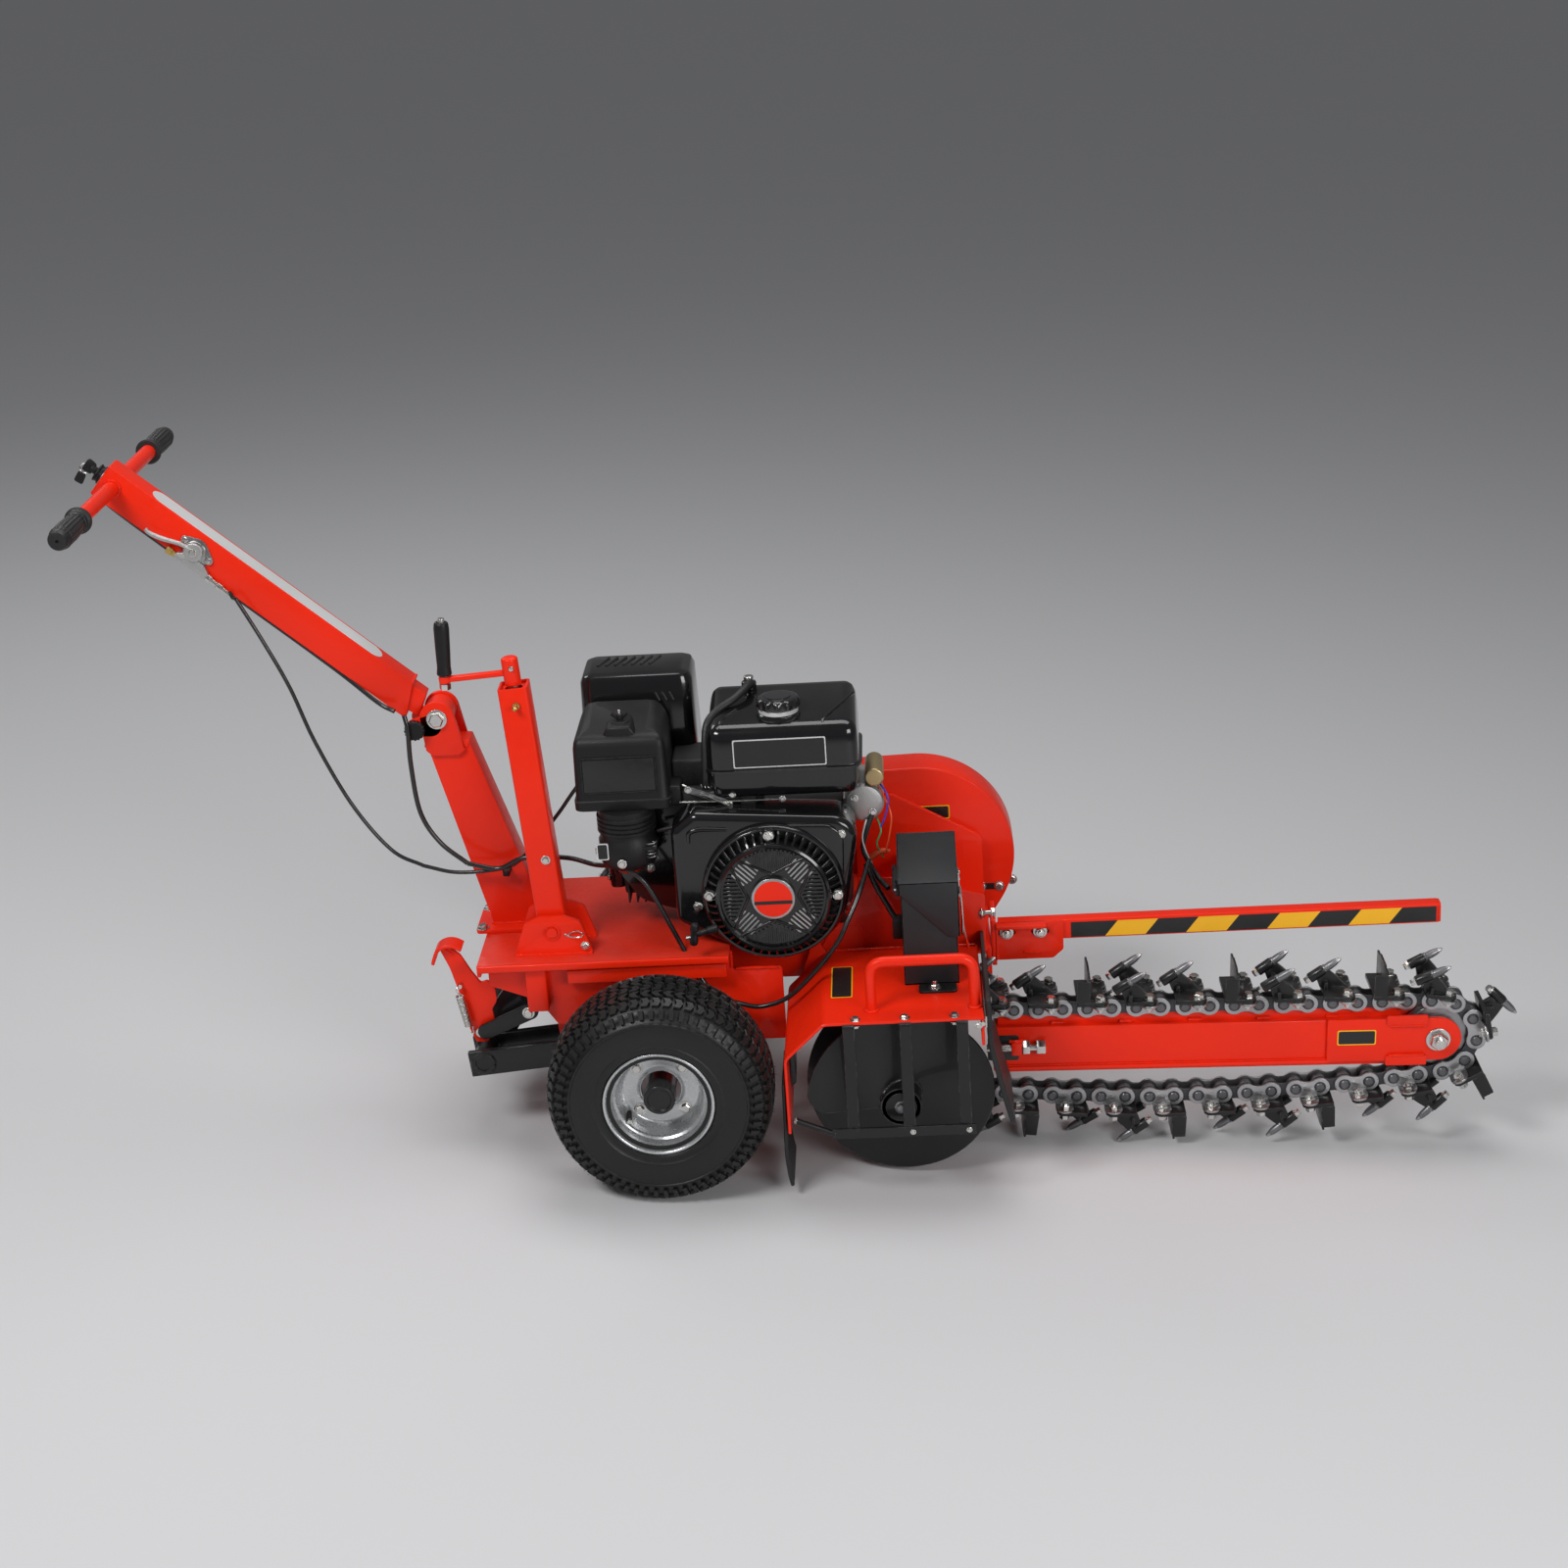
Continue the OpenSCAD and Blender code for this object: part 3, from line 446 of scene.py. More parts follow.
def rounded_box(low, high, corner, crown=4.0, flare=0.0):
    """A moulded box with a large corner radius in plan and rounded top and bottom edges."""
    centre = ((low[0] + high[0]) / 2, (low[1] + high[1]) / 2)
    loops = []
    heights = [(0, crown), (0.3 * crown, 0.3 * crown), (crown, 0)]
    levels = [(low[2] + up, inset) for up, inset in heights] + [(high[2] - up, inset) for up,
                                                                inset in heights[::-1]]
    for level, inset in levels:
        grow = flare * (high[2] - level) / (high[2] - low[2])
        half = (high[0] - centre[0] - inset + grow, high[1] - centre[1] - inset + grow)
        square = [(centre[0] + a * half[0], centre[1] + b * half[1]) for a,
                  b in ((-1, -1), (1, -1), (1, 1), (-1, 1))]
        loops.append([(x, y, level) for x, y in soften(square, max(corner - inset, 1), steps=6)])
    return loft(loops)


def facing(at, direction, spin=0.0):
    """Puts local Z along a direction at a point."""
    turn = Vector(direction).to_track_quat("Z", "Y").to_matrix().to_4x4()
    return Matrix.Translation(at) @ turn @ Matrix.Rotation(spin, 4, "Z")


class Piece:
    """One named mesh of the machine, gathered part by part."""

    def __init__(self, name, body, *nodes, place=None):
        self.name, self.body, self.nodes = name, body, nodes
        self.place = place or Matrix.Identity(4)
        self.mesh = bmesh.new()
        self.paints = []

    def add(self, part, paint, place=None):
        """Adds a part in one paint, moved by a matrix inside the piece's own frame."""
        if paint not in self.paints:
            self.paints.append(paint)
        for face in part.faces:
            face.material_index = self.paints.index(paint)
            face.smooth = True
        part.transform(self.place @ (place or Matrix.Identity(4)))
        data = bpy.data.meshes.new("part")
        part.to_mesh(data)
        part.free()
        self.mesh.from_mesh(data)
        bpy.data.meshes.remove(data)

    def boxes(self, paint, *boxes):
        """Boxes in one paint, each given by its low corner, high corner and edge."""
        for box in boxes:
            self.add(block(*box), paint)

    def bolt(self, at, direction=NEAR, size=8, paint="zinc", stud=0.0):
        """A hexagon head on a washer."""
        place = facing(at, direction, dice.uniform(0, 1))
        rim = 0.18 * size
        self.add(drum(size * 1.35, rim, 0.3, 24), paint, place)
        head = [(0, rim), (size * 0.95, rim), (size, rim + 0.15 * size), (size, 0.75 * size),
                (0.84 * size, 0.9 * size), (0, 0.9 * size)]
        self.add(turned(head, 6), paint, place)
        if stud:
            self.add(drum(size * 0.5, stud, 0.6, 16, 0.9 * size), paint, place)

    def screw(self, at, direction=NEAR, size=6, paint="zinc"):
        """A round head with a recessed socket."""
        profile = [(0, 0), (size, 0), (size, 0.5 * size), (0.8 * size, 0.75 * size),
                   (0.45 * size, 0.8 * size), (0.45 * size, 0.35 * size), (0, 0.35 * size)]
        self.add(turned(profile, 20), paint, facing(at, direction))

    def weld(self, points, radius=2.6, paint="red_paint"):
        """An uneven bead along a path."""
        path = []
        for a, b in zip(points, points[1:]):
            a, b = Vector(a), Vector(b)
            count = max(2, int((b - a).length / (radius * 0.7)))
            path += [a + (b - a) * i / count for i in range(count)]
        path.append(Vector(points[-1]))
        self.add(tube(path, [radius * dice.uniform(0.75, 1.2) for _ in path], 7), paint)

    def done(self, blend=None):
        """Makes the object and puts it on its body; given blend, it is baked in place and left off any body
        instead.
        """
        self.mesh.transform(MACHINE)
        data = bpy.data.meshes.new(self.name)
        self.mesh.to_mesh(data)
        self.mesh.free()
        for paint in self.paints:
            data.materials.append(PAINTS[paint])
        data.set_sharp_from_angle(angle=math.radians(38))
        made = bpy.data.objects.new(self.name, data)
        scene.collection.objects.link(made)
        if blend:
            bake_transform(made)
        else:
            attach(made, self.body)
        if self.nodes:
            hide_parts(*self.nodes)


# ---- Wheels ----

TREAD = [(0, 190), (15, 189.8), (30, 188.6), (42, 186), (52, 182), (60, 177), (67, 170), (71, 162),
         (72.5, 152)]


def on_tread(along, height=0.0):
    """Radius and side position of a point on the tread's curve, a distance from its middle and above it."""
    left = abs(along)
    for (y0, r0), (y1, r1) in zip(TREAD, TREAD[1:]):
        step = math.hypot(y1 - y0, r1 - r0)
        if left <= step or r1 == TREAD[-1][1]:
            break
        left -= step
    share = left / step
    radius = r0 + (r1 - r0) * share + height * (y1 - y0) / step
    side = y0 + (y1 - y0) * share - height * (r1 - r0) / step
    return radius, math.copysign(side, along)


def tread_block(turn, along, outline, sink=7.0, taper=0.86):
    """One rubber block: an outline of (round, across) distances about its middle."""
    part = bmesh.new()
    rings = []
    for height, scale in ((-sink, 1.0), (-1.0, taper + 0.06), (0.0, taper)):
        ring = []
        for u, v in outline:
            radius, side = on_tread(along + v * scale, height)
            spot = turn + u * scale / AXLE_Z
            ring.append(part.verts.new((radius * math.cos(spot), radius * math.sin(spot), side)))
        rings.append(ring)
    return skin(part, rings)


def tyre(side, y):
    """Turf tyre: a ringed carcass with wavy rows of blocks, shoulder lugs and moulding hairs."""
    piece = Piece(f"{side}_tyre_turf", f"{side}_wheel", f"{side}_tyre")
    place = facing((0, y, AXLE_Z), NEAR if side == "near" else FAR)
    carcass = [on_tread(s, -6.5) for s in range(0, 88, 6)]
    wall = [(151, 70), (150, 72.5), (147, 73), (146, 71.8), (134, 74), (120, 73.6), (110, 71.4),
            (108, 72.4), (106, 71), (99, 68), (96.5, 68.4), (94, 64), (91, 62), (80, 60)]
    half = carcass + wall
    profile = [(r, -v) for r, v in half[::-1]] + half[1:] + [(80, -60)]
    piece.add(turned(profile, 96, capped=False), "tyre_rubber", place)
    columns = 62
    rows = 6
    pitch = 2 * math.pi / columns
    length = 21.0
    for i in range(columns):
        for j in range(rows):
            along = (j - (rows - 1) / 2) * length
            lean = 1 if j % 2 else -1
            outline = [(-7 + 3 * lean, -9.2), (5 + 3 * lean, -9.2), (7 - 3.4 * lean, 0),
                       (5 + 3 * lean, 9.2), (-7 + 3 * lean, 9.2), (-5.5 - 3.4 * lean, 0)]
            piece.add(tread_block(i * pitch, along, outline), "tyre_rubber", place)
        for end in (-1, 1):
            outline = [(-5, -8), (5, -8), (4, 9), (-4, 9)]
            if end < 0:
                outline = [(-4, -9), (4, -9), (5, 8), (-5, 8)]
            piece.add(tread_block((i + 0.5) * pitch, end * 76, outline, 5, 0.9), "tyre_rubber", place)
    for _ in range(170):
        turn = dice.uniform(math.radians(-55), math.radians(235))
        radius, across = on_tread(dice.uniform(-70, 70))
        root = Vector((radius * math.cos(turn), radius * math.sin(turn), across))
        lean = Vector((math.cos(turn), math.sin(turn), dice.uniform(-0.6, 0.6))) * dice.uniform(3, 6)
        flip = place if side == "near" else place @ Matrix.Rotation(math.pi, 4, "X")
        piece.add(tube([root, root + lean], [0.45, 0.2], 3), "tyre_rubber", flip)
    piece.done()


def rim(side, y):
    """Stepped pressed-steel wheel with its bolts and valve."""
    piece = Piece(f"{side}_rim_pressed", f"{side}_wheel", f"{side}_rim")
    outward = NEAR if side == "near" else FAR
    place = facing((0, y, AXLE_Z), outward)
    dish = [(92, 62), (93.5, 65), (91, 67), (88, 65.5), (86, 60), (85, 55), (81, 53), (79, 50), (78, 42),
            (74, 39), (72.5, 36), (71.5, 22), (69, 12), (64, 6), (60, 4.5), (42, 4), (38, 5), (35, 9),
            (33.5, 9), (33, 6)]
    back = [(33, -4), (60, -4), (66, -10), (69, -34), (76, -38), (78, -50), (85, -54), (86, -62), (90, -66),
            (93, -62)]
    outer = [(80, -58), (78.5, -40), (74, -34), (74, 32), (78.5, 40), (80, 58)]
    profile = soften(dish + back + outer, 1.6, closed=False, steps=2)
    piece.add(turned(profile + [profile[0]], 80, capped=False), "rim_silver", place)
    for turn in (45, 135, 225, 315):
        piece.bolt(place @ polar(54, turn, 4), outward, 8)
    stem = place @ Vector((-58, -42, 8))
    stem_end = stem + Vector((4, 0, 0)) + Vector(outward) * 26
    piece.add(tube([stem, stem_end], [6, 4.2], 14), "soft_rubber")
    piece.add(drum(3.6, 9, 0.8, 12), "zinc", facing(stem_end, outward))
    piece.done()


def axle_and_arms():
    """Wheel arms, pivot tube, axle tube and hub caps."""
    piece = Piece("axle_hubs", "wheel_arm", "axle")
    for side in (-1, 1):
        outward = (0, side, 0)
        place = facing((0, side * 320, AXLE_Z), outward)
        hub = [(0, -60), (25, -60), (25, 20), (26.5, 22), (26.5, 48), (25, 50.5), (20, 51), (19, 48),
               (0, 47)]
        piece.add(turned(hub, 48, edge=1.5), "black_paint", place)
        piece.add(tube([(0, side * 226, AXLE_Z), (0, side * 262, AXLE_Z)], 17, 40), "bare_steel")
    piece.done()
    arms = Piece("wheel_arms", "wheel_arm", "swing_arm")
    start = Vector((pivot("wheel_arm_tilt").x, pivot("wheel_arm_tilt").z))
    end = Vector((0, AXLE_Z))
    along = (end - start).normalized()
    normal = Vector((-along.y, along.x)) * 23
    bar = [start - along * 24 - normal, end - normal, *[Vector(p) for p in arc(end, 23, -60, 60, 8)],
           end + normal, start - along * 24 + normal]
    for y in (-142, -78, 128):
        arms.add(slab([tuple(p) for p in bar], y - 6, y + 6, 1.5), "black_paint")
    arms.add(pipe(14, 19, 0, 300), "black_paint", facing((start.x, 150, start.y), NEAR))
    arms.add(pipe(17.2, 28, 0, 472, 48), "black_paint", facing((0, 236, AXLE_Z), NEAR))
    foot = JACK @ Vector((0, 0, -229))
    arms.add(tube([foot + Y * 44, foot - Y * 44], 10, 24), "zinc")
    arms.bolt(foot - Y * 44, NEAR, 9)
    for y in (-148, -84, 122):
        arms.weld([(a, y - 1, b) for a, b in arc(start, 20.5, 0, 350, 16)], 2, "black_paint")
    arms.done()


for side_name, side_y in (("near", pivot("near_wheel_spin").y), ("far", pivot("far_wheel_spin").y)):
    tyre(side_name, side_y)
    rim(side_name, side_y)
axle_and_arms()

# ---- Handle ----

BAR_AT = 589  # the cross bar's place along the column


def upper_column():
    """Rectangular tube with its mitred foot, tongue, seams and a plain pale decal."""
    piece = Piece("handle_column", "handle", "upper_column", place=COLUMN)
    length = span_along_column()
    outline = [(-26, -29), (length, -29), (length, 29), (0, 29)]
    piece.add(slab(soften(outline, 3), -25, 25, 3, 3), "red_paint")
    piece.add(slab([(-42, -14), (4, -20), (4, 24), (-30, 24)], -20, 20, 2), "red_paint")
    piece.add(pipe(8.5, 26, -23, 23, 48), "red_paint", facing(COLUMN.inverted() @ FOLD, FAR))
    piece.weld([(1, -24, 29), (1, 24, 29)], 2.4)
    piece.weld([(length - 1, -24, 27), (length - 1, 24, 27), (length - 1, 24, -27), (length - 1, -24, -27)],
               1.6)
    for side in (-1, 1):
        ring = [(BAR_AT + a, side * 26, b) for a, b in arc((0, 0), 14.5, 0, 345, 20)]
        piece.weld(ring, 2.2)
    pill = arc((88, 0), 20, 90, 270, 14) + arc((512, 0), 20, -90, 90, 14)
    piece.add(slab(pill, 28.5, 29.4, 0, along="z"), "label_white")
    piece.done()


def span_along_column():
    """Length of the column, from its CAD node."""
    inverse = COLUMN.inverted() @ TO_MACHINE
    return max((inverse @ v.co).x for v in frame["nodes"]["upper_column"].data.vertices)


def cross_bar():
    """Round bar with ribbed rubber grips."""
    piece = Piece("handle_bar", "handle", "cross_bar", place=COLUMN)
    piece.add(tube([(BAR_AT, -338, 0), (BAR_AT, 338, 0)], 13, 32), "red_paint")
    piece.done()
    grips = Piece("handle_grips", "handle", "hand_grips", place=COLUMN)

    def ribbed(turn, height):
        return 1 + (0.035 * math.cos(18 * turn) if 14 < height < 112 else 0)

    profile = [(13.2, 0), (20, 0), (22, 2), (22, 6), (20, 8.5), (17, 10), (16.4, 13), (16.6, 15),
               (17.4, 40), (18.6, 70), (18.2, 95), (17.4, 111), (16.8, 113), (16.5, 119), (14, 124),
               (9, 125), (3, 124.6), (2.4, 121), (0, 121)]
    for side in (-1, 1):
        place = facing((BAR_AT, side * (345 - 125), 0), (0, side, 0))
        grips.add(turned(profile, 108, ribbed), "soft_rubber", place)
        for height in (22, 104):
            grips.add(turned([(17.4, height - 1.4), (18.9, height - 0.6), (18.9, height + 0.6),
                              (17.4, height + 1.4)], 48, capped=False), "soft_rubber", place)
    grips.done()


def throttle():
    """Plate, body, adjusters and lever of the hand throttle."""
    mount = Piece("throttle_plate", "handle", "throttle_mount", place=COLUMN)
    diamond = arc((443.5, 3), 8, -70, 70, 6) + arc((420, 0), 20, 60, 120, 6)
    diamond += arc((393.5, -3), 8, 110, 250, 6) + arc((420, 0), 20, 240, 300, 6)
    mount.add(slab(diamond, 25, 28.5, 0.8), "bright_steel")
    mount.add(drum(19, 5, 1.2, 40), "bright_steel", facing((420, 28.5, -4), (0, 1, 0)))
    mount.screw((443.5, 28.5, 3), (0, 1, 0), 5.5)
    mount.screw((393.5, 28.5, -3), (0, 1, 0), 5.5)
    body = soften([(378, -32), (444, -32), (444, -22), (430, -12), (395, -12), (378, -22)], 4)
    mount.add(slab(body, 26, 36, 1.5), "cast_alloy")
    mount.add(turned([(0, 0), (5.5, 0), (5.5, 6), (7, 7), (7, 17), (0, 17)], 6), "brass",
              facing((443, 31, -27), (1, 0, 0)))
    sleeve = [(0, 0), (7, 0), (7, 8), (5, 9), (5, 20), (6.5, 21), (6.5, 30), (4.6, 31), (4.6, 46), (3, 47),
              (0, 47)]
    mount.add(turned(sleeve, 24), "zinc", facing((380, 31, -27), (-1, 0, -0.05)))
    mount.done()
    lever = Piece("throttle_hand_lever", "throttle", "throttle_lever", place=COLUMN)
    arm = flowing([(428, 37, -2), (448, 39, -4), (474, 41, -13), (496, 42, -18), (506, 42, -16)], 6)
    sizes = [4.2 - 1.6 * abs(i / (len(arm) - 1) - 0.55) for i in range(len(arm))]
    lever.add(drum(16, 4.6, 1.4, 40), "cast_alloy", facing((421, 34.2, -4), (0, 1, 0)))
    lever.add(tube(arm, sizes, 12), "cast_alloy")
    lever.bolt((421, 38.4, -4), (0, 1, 0), 5)
    lever.done()


def key_switch():
    """Ignition switch with its ring nut, and the key with a plain bow and tag ring."""
    length = span_along_column()
    switch = Piece("ignition_switch", "handle", "key_switch", place=COLUMN)
    profile = [(0, 0), (17, 0), (17, 4), (14.5, 5), (14.5, 9), (16, 10), (16, 12.5), (12, 13.5),
               (5.4, 13.5), (5.4, 11), (0, 11)]
    switch.add(turned(profile, 40, edge=0.8), "black_plastic", facing((length, 0, 0), (1, 0, 0)))
    switch.add(drum(20, 2.4, 0.8, 40), "bare_steel", facing((length - 0.6, 0, 0), (1, 0, 0)))
    switch.done()
    key = Piece("switch_key", "key", "ignition_key", place=COLUMN)
    x = length + 12
    bow = soften([(x + 6, -10), (x + 24, -12), (x + 24, 12), (x + 6, 10)], 5)
    key.add(slab(bow, -3, 3, 1.4), "black_plastic")
    key.add(block((x - 2, -1.2, -4), (x + 7, 1.2, 4), 0.4), "zinc")
    key.add(drum(6.5, 12, 1.2, 28), "black_plastic", facing((x + 0.5, 0, 0), (1, 0, 0)))
    ring = [(x + 20 + a, 0, -8 + b) for a, b in arc((0, 0), 8, 0, 350, 24)]
    key.add(tube(ring, 1.3, 8), "zinc")
    key.add(slab(soften([(x + 8, -34), (x + 24, -36), (x + 26, -16), (x + 12, -15)], 4), -1.5, 1.5, 0.8),
            "black_plastic")
    key.done()


def lower_column():
    """Tapered column with base plate, clevis ears and welds."""
    piece = Piece("column_foot", "frame", "lower_column")
    deck = span("deck")[1].z
    base = [(-301, deck + 7), (-204, deck + 7), (-311, 712), (-385, 716)]
    piece.add(slab(soften(base, 2), -25, 25, 4, 3), "red_paint")
    flange = oblong(-330, -50, -196, 50, 8)
    piece.add(slab(flange, deck, deck + 8, 1.5, along="z"), "red_paint")
    piece.weld([(-301, -27, deck + 9), (-205, -27, deck + 9), (-203, 26, deck + 9), (-302, 26, deck + 9),
                (-302, -27, deck + 9)], 3.2)
    for side, (y0, y1) in zip((-1, 1), mirrored(25.4, 33)):
        ear = hull(arc((FOLD.x, FOLD.z), 30, 0, 360, 40)
                   + [(-384, 700), (-318, 698), (-330, 690), (-374, 690)])
        piece.add(slab(ear, y0, y1, 1.6), "red_paint")
        lobe = hull(arc((-398, 742), 16, 0, 360, 24) + arc((-372, 745), 20, 0, 360, 24))
        piece.add(slab(lobe, y0, y1, 1.2), "red_paint")
        piece.weld([(-384, side * 28, 702), (-374, side * 29, 691), (-330, side * 29, 689),
                    (-317, side * 28, 700)], 2.2)
    piece.add(slab([(-386, 714), (-310, 710), (-313, 700), (-388, 704)], -26.5, 26.5, 1.5), "red_paint")
    piece.done()


def fold_knob():
    """Knurled knob that locks the fold."""
    piece = Piece("fold_lock_knob", "fold_knob", "lock_knob")

    def knurl(turn, height):
        return 1 + (0.05 * math.cos(16 * turn) if 3 < height < 15 else 0)

    profile = [(0, 0), (9, 0), (9, 3), (16, 3.5), (17, 6), (17, 14), (15, 16), (0, 16)]
    piece.add(turned(profile, 64, knurl), "black_plastic", facing((-398, -33.2, 742), NEAR))
    piece.done()


upper_column()
cross_bar()
throttle()
key_switch()
lower_column()
fold_knob()

# ---- Jack, crank and foot latch ----

LATCH_PIN = (-328, 206)  # X and Z of the foot latch's pin


def jack():
    """Square jack tube with its cap, trunnions, grease nipple and bolt; ears; ram; crank and grip."""
    bottom = min((JACK.inverted() @ TO_MACHINE @ v.co).z for v in frame["nodes"]["jack_tube"].data.vertices)
    outer = oblong(-25, -25, 25, 25, 6)
    inner = oblong(-20.5, -20.5, 20.5, 20.5, 3)
    tube_piece = Piece("jack_outer_tube", "jack", "jack_tube", place=JACK)
    tube_piece.add(slab(outer, bottom, 436, 0.8, holes=[inner], along="z"), "red_paint")
    lid = oblong(-21, -21, 21, 21, 4)
    tube_piece.add(slab(lid, 425, 431, 0.8, holes=[arc((0, 0), 14.6, 0, 360, 32)], along="z"), "red_paint")
    tube_piece.add(tube([(0, -42, 0), (0, 42, 0)], 8.9, 32), "red_paint")
    for side in (-1, 1):
        tube_piece.add(drum(14, 5, 1, 32), "red_paint", facing((0, side * 25, 0), (0, side, 0)))
    tube_piece.add(turned([(0, 0), (6, 0), (6, 4), (3.4, 5), (3.4, 9), (4.6, 10.5), (4.6, 13), (2.4, 15),
                           (0, 15)], 16), "brass", facing((4, -25, 408), (-0.2, -1, -0.25)))
    tube_piece.bolt((8, -25, 128), NEAR, 6)
    tube_piece.done()

    ears = Piece("jack_mount_ears", "frame", "jack_ears")
    low, high = span("jack_ears")
    outline = [(-250, low.z), (-115, low.z), (-134, 421), (-160, high.z), (-205, high.z), (-229, 421)]
    for y in (jack_y_middle() - 35, jack_y_middle() + 35):
        hole = arc((JACK.translation.x, JACK.translation.z), 9.1, 0, 360, 28)
        ears.add(slab(soften(outline, 4), y - 4, y + 4, 1.4, holes=[hole]), "red_paint")
        middle = JACK.translation
        ring = [(middle.x + a, y - 4.6, middle.z + b) for a, b in arc((0, 0), 13.5, 0, 352, 28)]
        ears.add(tube(ring, 1.6, 8), "red_paint")
        ears.weld([(-248, y - 5, low.z + 1), (-117, y - 5, low.z + 1)], 2.6)
    ears.done()

    ram = Piece("jack_inner_ram", "ram", "jack_ram", place=JACK)
    ram.add(slab(oblong(-20, -20, 20, 20, 3), -210, 88, 1, along="z"), "red_paint")
    eye = hull(arc((0, -229), 22, 0, 360, 40) + [(-20, -203), (20, -203)])
    slot = arc((6, -229), 11, -90, 90, 12) + arc((-6, -229), 11, 90, 270, 12)
    ram.add(slab(eye, -19.5, 19.5, 1.2, holes=[slot]), "red_paint")
    ram.done()

    crank = Piece("jack_crank", "crank", "crank", place=JACK)
    crank.add(tube([(0, 0, -38), (0, 0, 440)], 9.9, 24), "bare_steel")
    crank.add(turned([(0, 437), (14.2, 437), (14.2, 482), (10, 485), (0, 485)], 40, edge=2), "red_paint")
    crank.add(block((-108, -5.5, 453), (-8, 5.5, 463), 3, 3), "red_paint")
    crank.add(drum(10, 12, 2, 24), "red_paint", facing((-112, 0, 452), UP))
    crank.screw((3, -13.6, 468), NEAR, 4.5)
    grip_place = Matrix.Translation((-112, 0, 458)) @ Matrix.Rotation(math.radians(6), 4, "Y")
    crank.add(turned([(0, -17), (9, -17), (9.6, -15), (9.6, -7), (0, -7)], 6), "zinc", grip_place)
    crank.add(drum(5.9, 106, 0.8, 20), "zinc", grip_place)
    crank.done()
    grip = Piece("crank_handgrip", "crank_knob", "crank_grip", place=JACK @ grip_place)
    profile = [(6.4, 8), (11.5, 8), (12.6, 10), (11.4, 22), (12.4, 55), (13, 88), (12, 97), (10, 100),
               (6.4, 100), (6.4, 8)]
    grip.add(turned(profile, 40, capped=False, edge=2), "black_plastic")
    grip.done()


def jack_y_middle():
    return JACK.translation.y


def foot_latch():
    """Flat hook with a curved foot pad, and its return spring with end hooks."""
    piece = Piece("latch_pedal", "latch", "foot_latch")
    hook = [(-338, 188), (-317, 188), (-303, 232), (-305, 250), (-297, 262), (-295, 268), (-296, 290),
            (-308, 304), (-320, 300), (-334, 322), (-350, 354), (-372, 374), (-384, 366), (-370, 330),
            (-358, 280), (-350, 222)]
    hole = arc(LATCH_PIN, 5.2, 0, 360, 20)
    piece.add(slab(soften(hook, 4), -118, -110.5, 1.4, holes=[hole]), "red_paint")
    pad = flowing([(-345, 369), (-358, 376), (-372, 377), (-386, 370), (-393, 356), (-397, 344)], 4)
    piece.add(ribbon(pad, 6, -133, -95, 1.5), "red_paint")
    piece.weld([(-378, -119, 368), (-362, -119, 356)], 2.2)
    piece.add(drum(3.6, 14, 0.8, 16), "zinc", facing((-354, -117, 300), NEAR))
    piece.done()
    low, high = span("latch_spring")
    spring = Piece("latch_return_spring", "frame", "latch_spring")
    base = Vector(((low.x + high.x) / 2 + 24, (low.y + high.y) / 2 - 3, low.z - 6))
    top = base + Vector((-14, 0, high.z - low.z + 10))
    turns = 22
    coil = []
    for i in range(turns * 12 + 1):
        turn = 2 * math.pi * i / 12
        centre = base + (top - base) * (0.12 + 0.76 * i / (turns * 12))
        coil.append(centre + Vector((6.6 * math.cos(turn), 6.6 * math.sin(turn), 0)))
    hook_low = [base + Vector((0, 0, -2)), base + Vector((5, 0, -4)), base + Vector((5, 0, 4))]
    hook_high = [top + Vector((-4, 0, -2)), top + Vector((-2, 0, 5)), top + Vector((3, 0, 3))]
    spring.add(tube(flowing(hook_low, 5) + coil + flowing(hook_high, 5), 1.25, 7), "zinc")
    spring.done(blend=("frame", "latch", base, top))


def arm_hangers():
    """Black hanger links, the latch knuckle and its link bar."""
    piece = Piece("pivot_hangers", "frame", "arm_hangers")
    at = pivot("wheel_arm_tilt")
    for y in (-48, 60):
        link = hull(arc((at.x, at.z), 31, 0, 360, 40)
                    + [(-262, 298), (-218, 298), (-262, 270), (-218, 262)])
        piece.add(slab(link, y - 5, y + 5, 1.4, holes=[arc((at.x, at.z), 19.2, 0, 360, 32)]), "black_paint")
        piece.bolt((-240, y - 5, 282), NEAR, 8)
    bar = hull(arc((-318, 212), 14, 0, 360, 24) + arc((-238, 247), 15, 0, 360, 24))
    piece.add(slab(bar, -131, -124, 1.2), "black_paint")
    piece.bolt((-240, -131, 246), NEAR, 8)
    piece.add(tube([(-240, -126, 246), (-240, -62, 246)], 8, 20), "zinc")
    piece.add(block((-262, -64, 232), (-218, -52, 300), 1.5), "black_paint")
    piece.done()


jack()
foot_latch()
arm_hangers()

# ---- Deck and drive frame ----


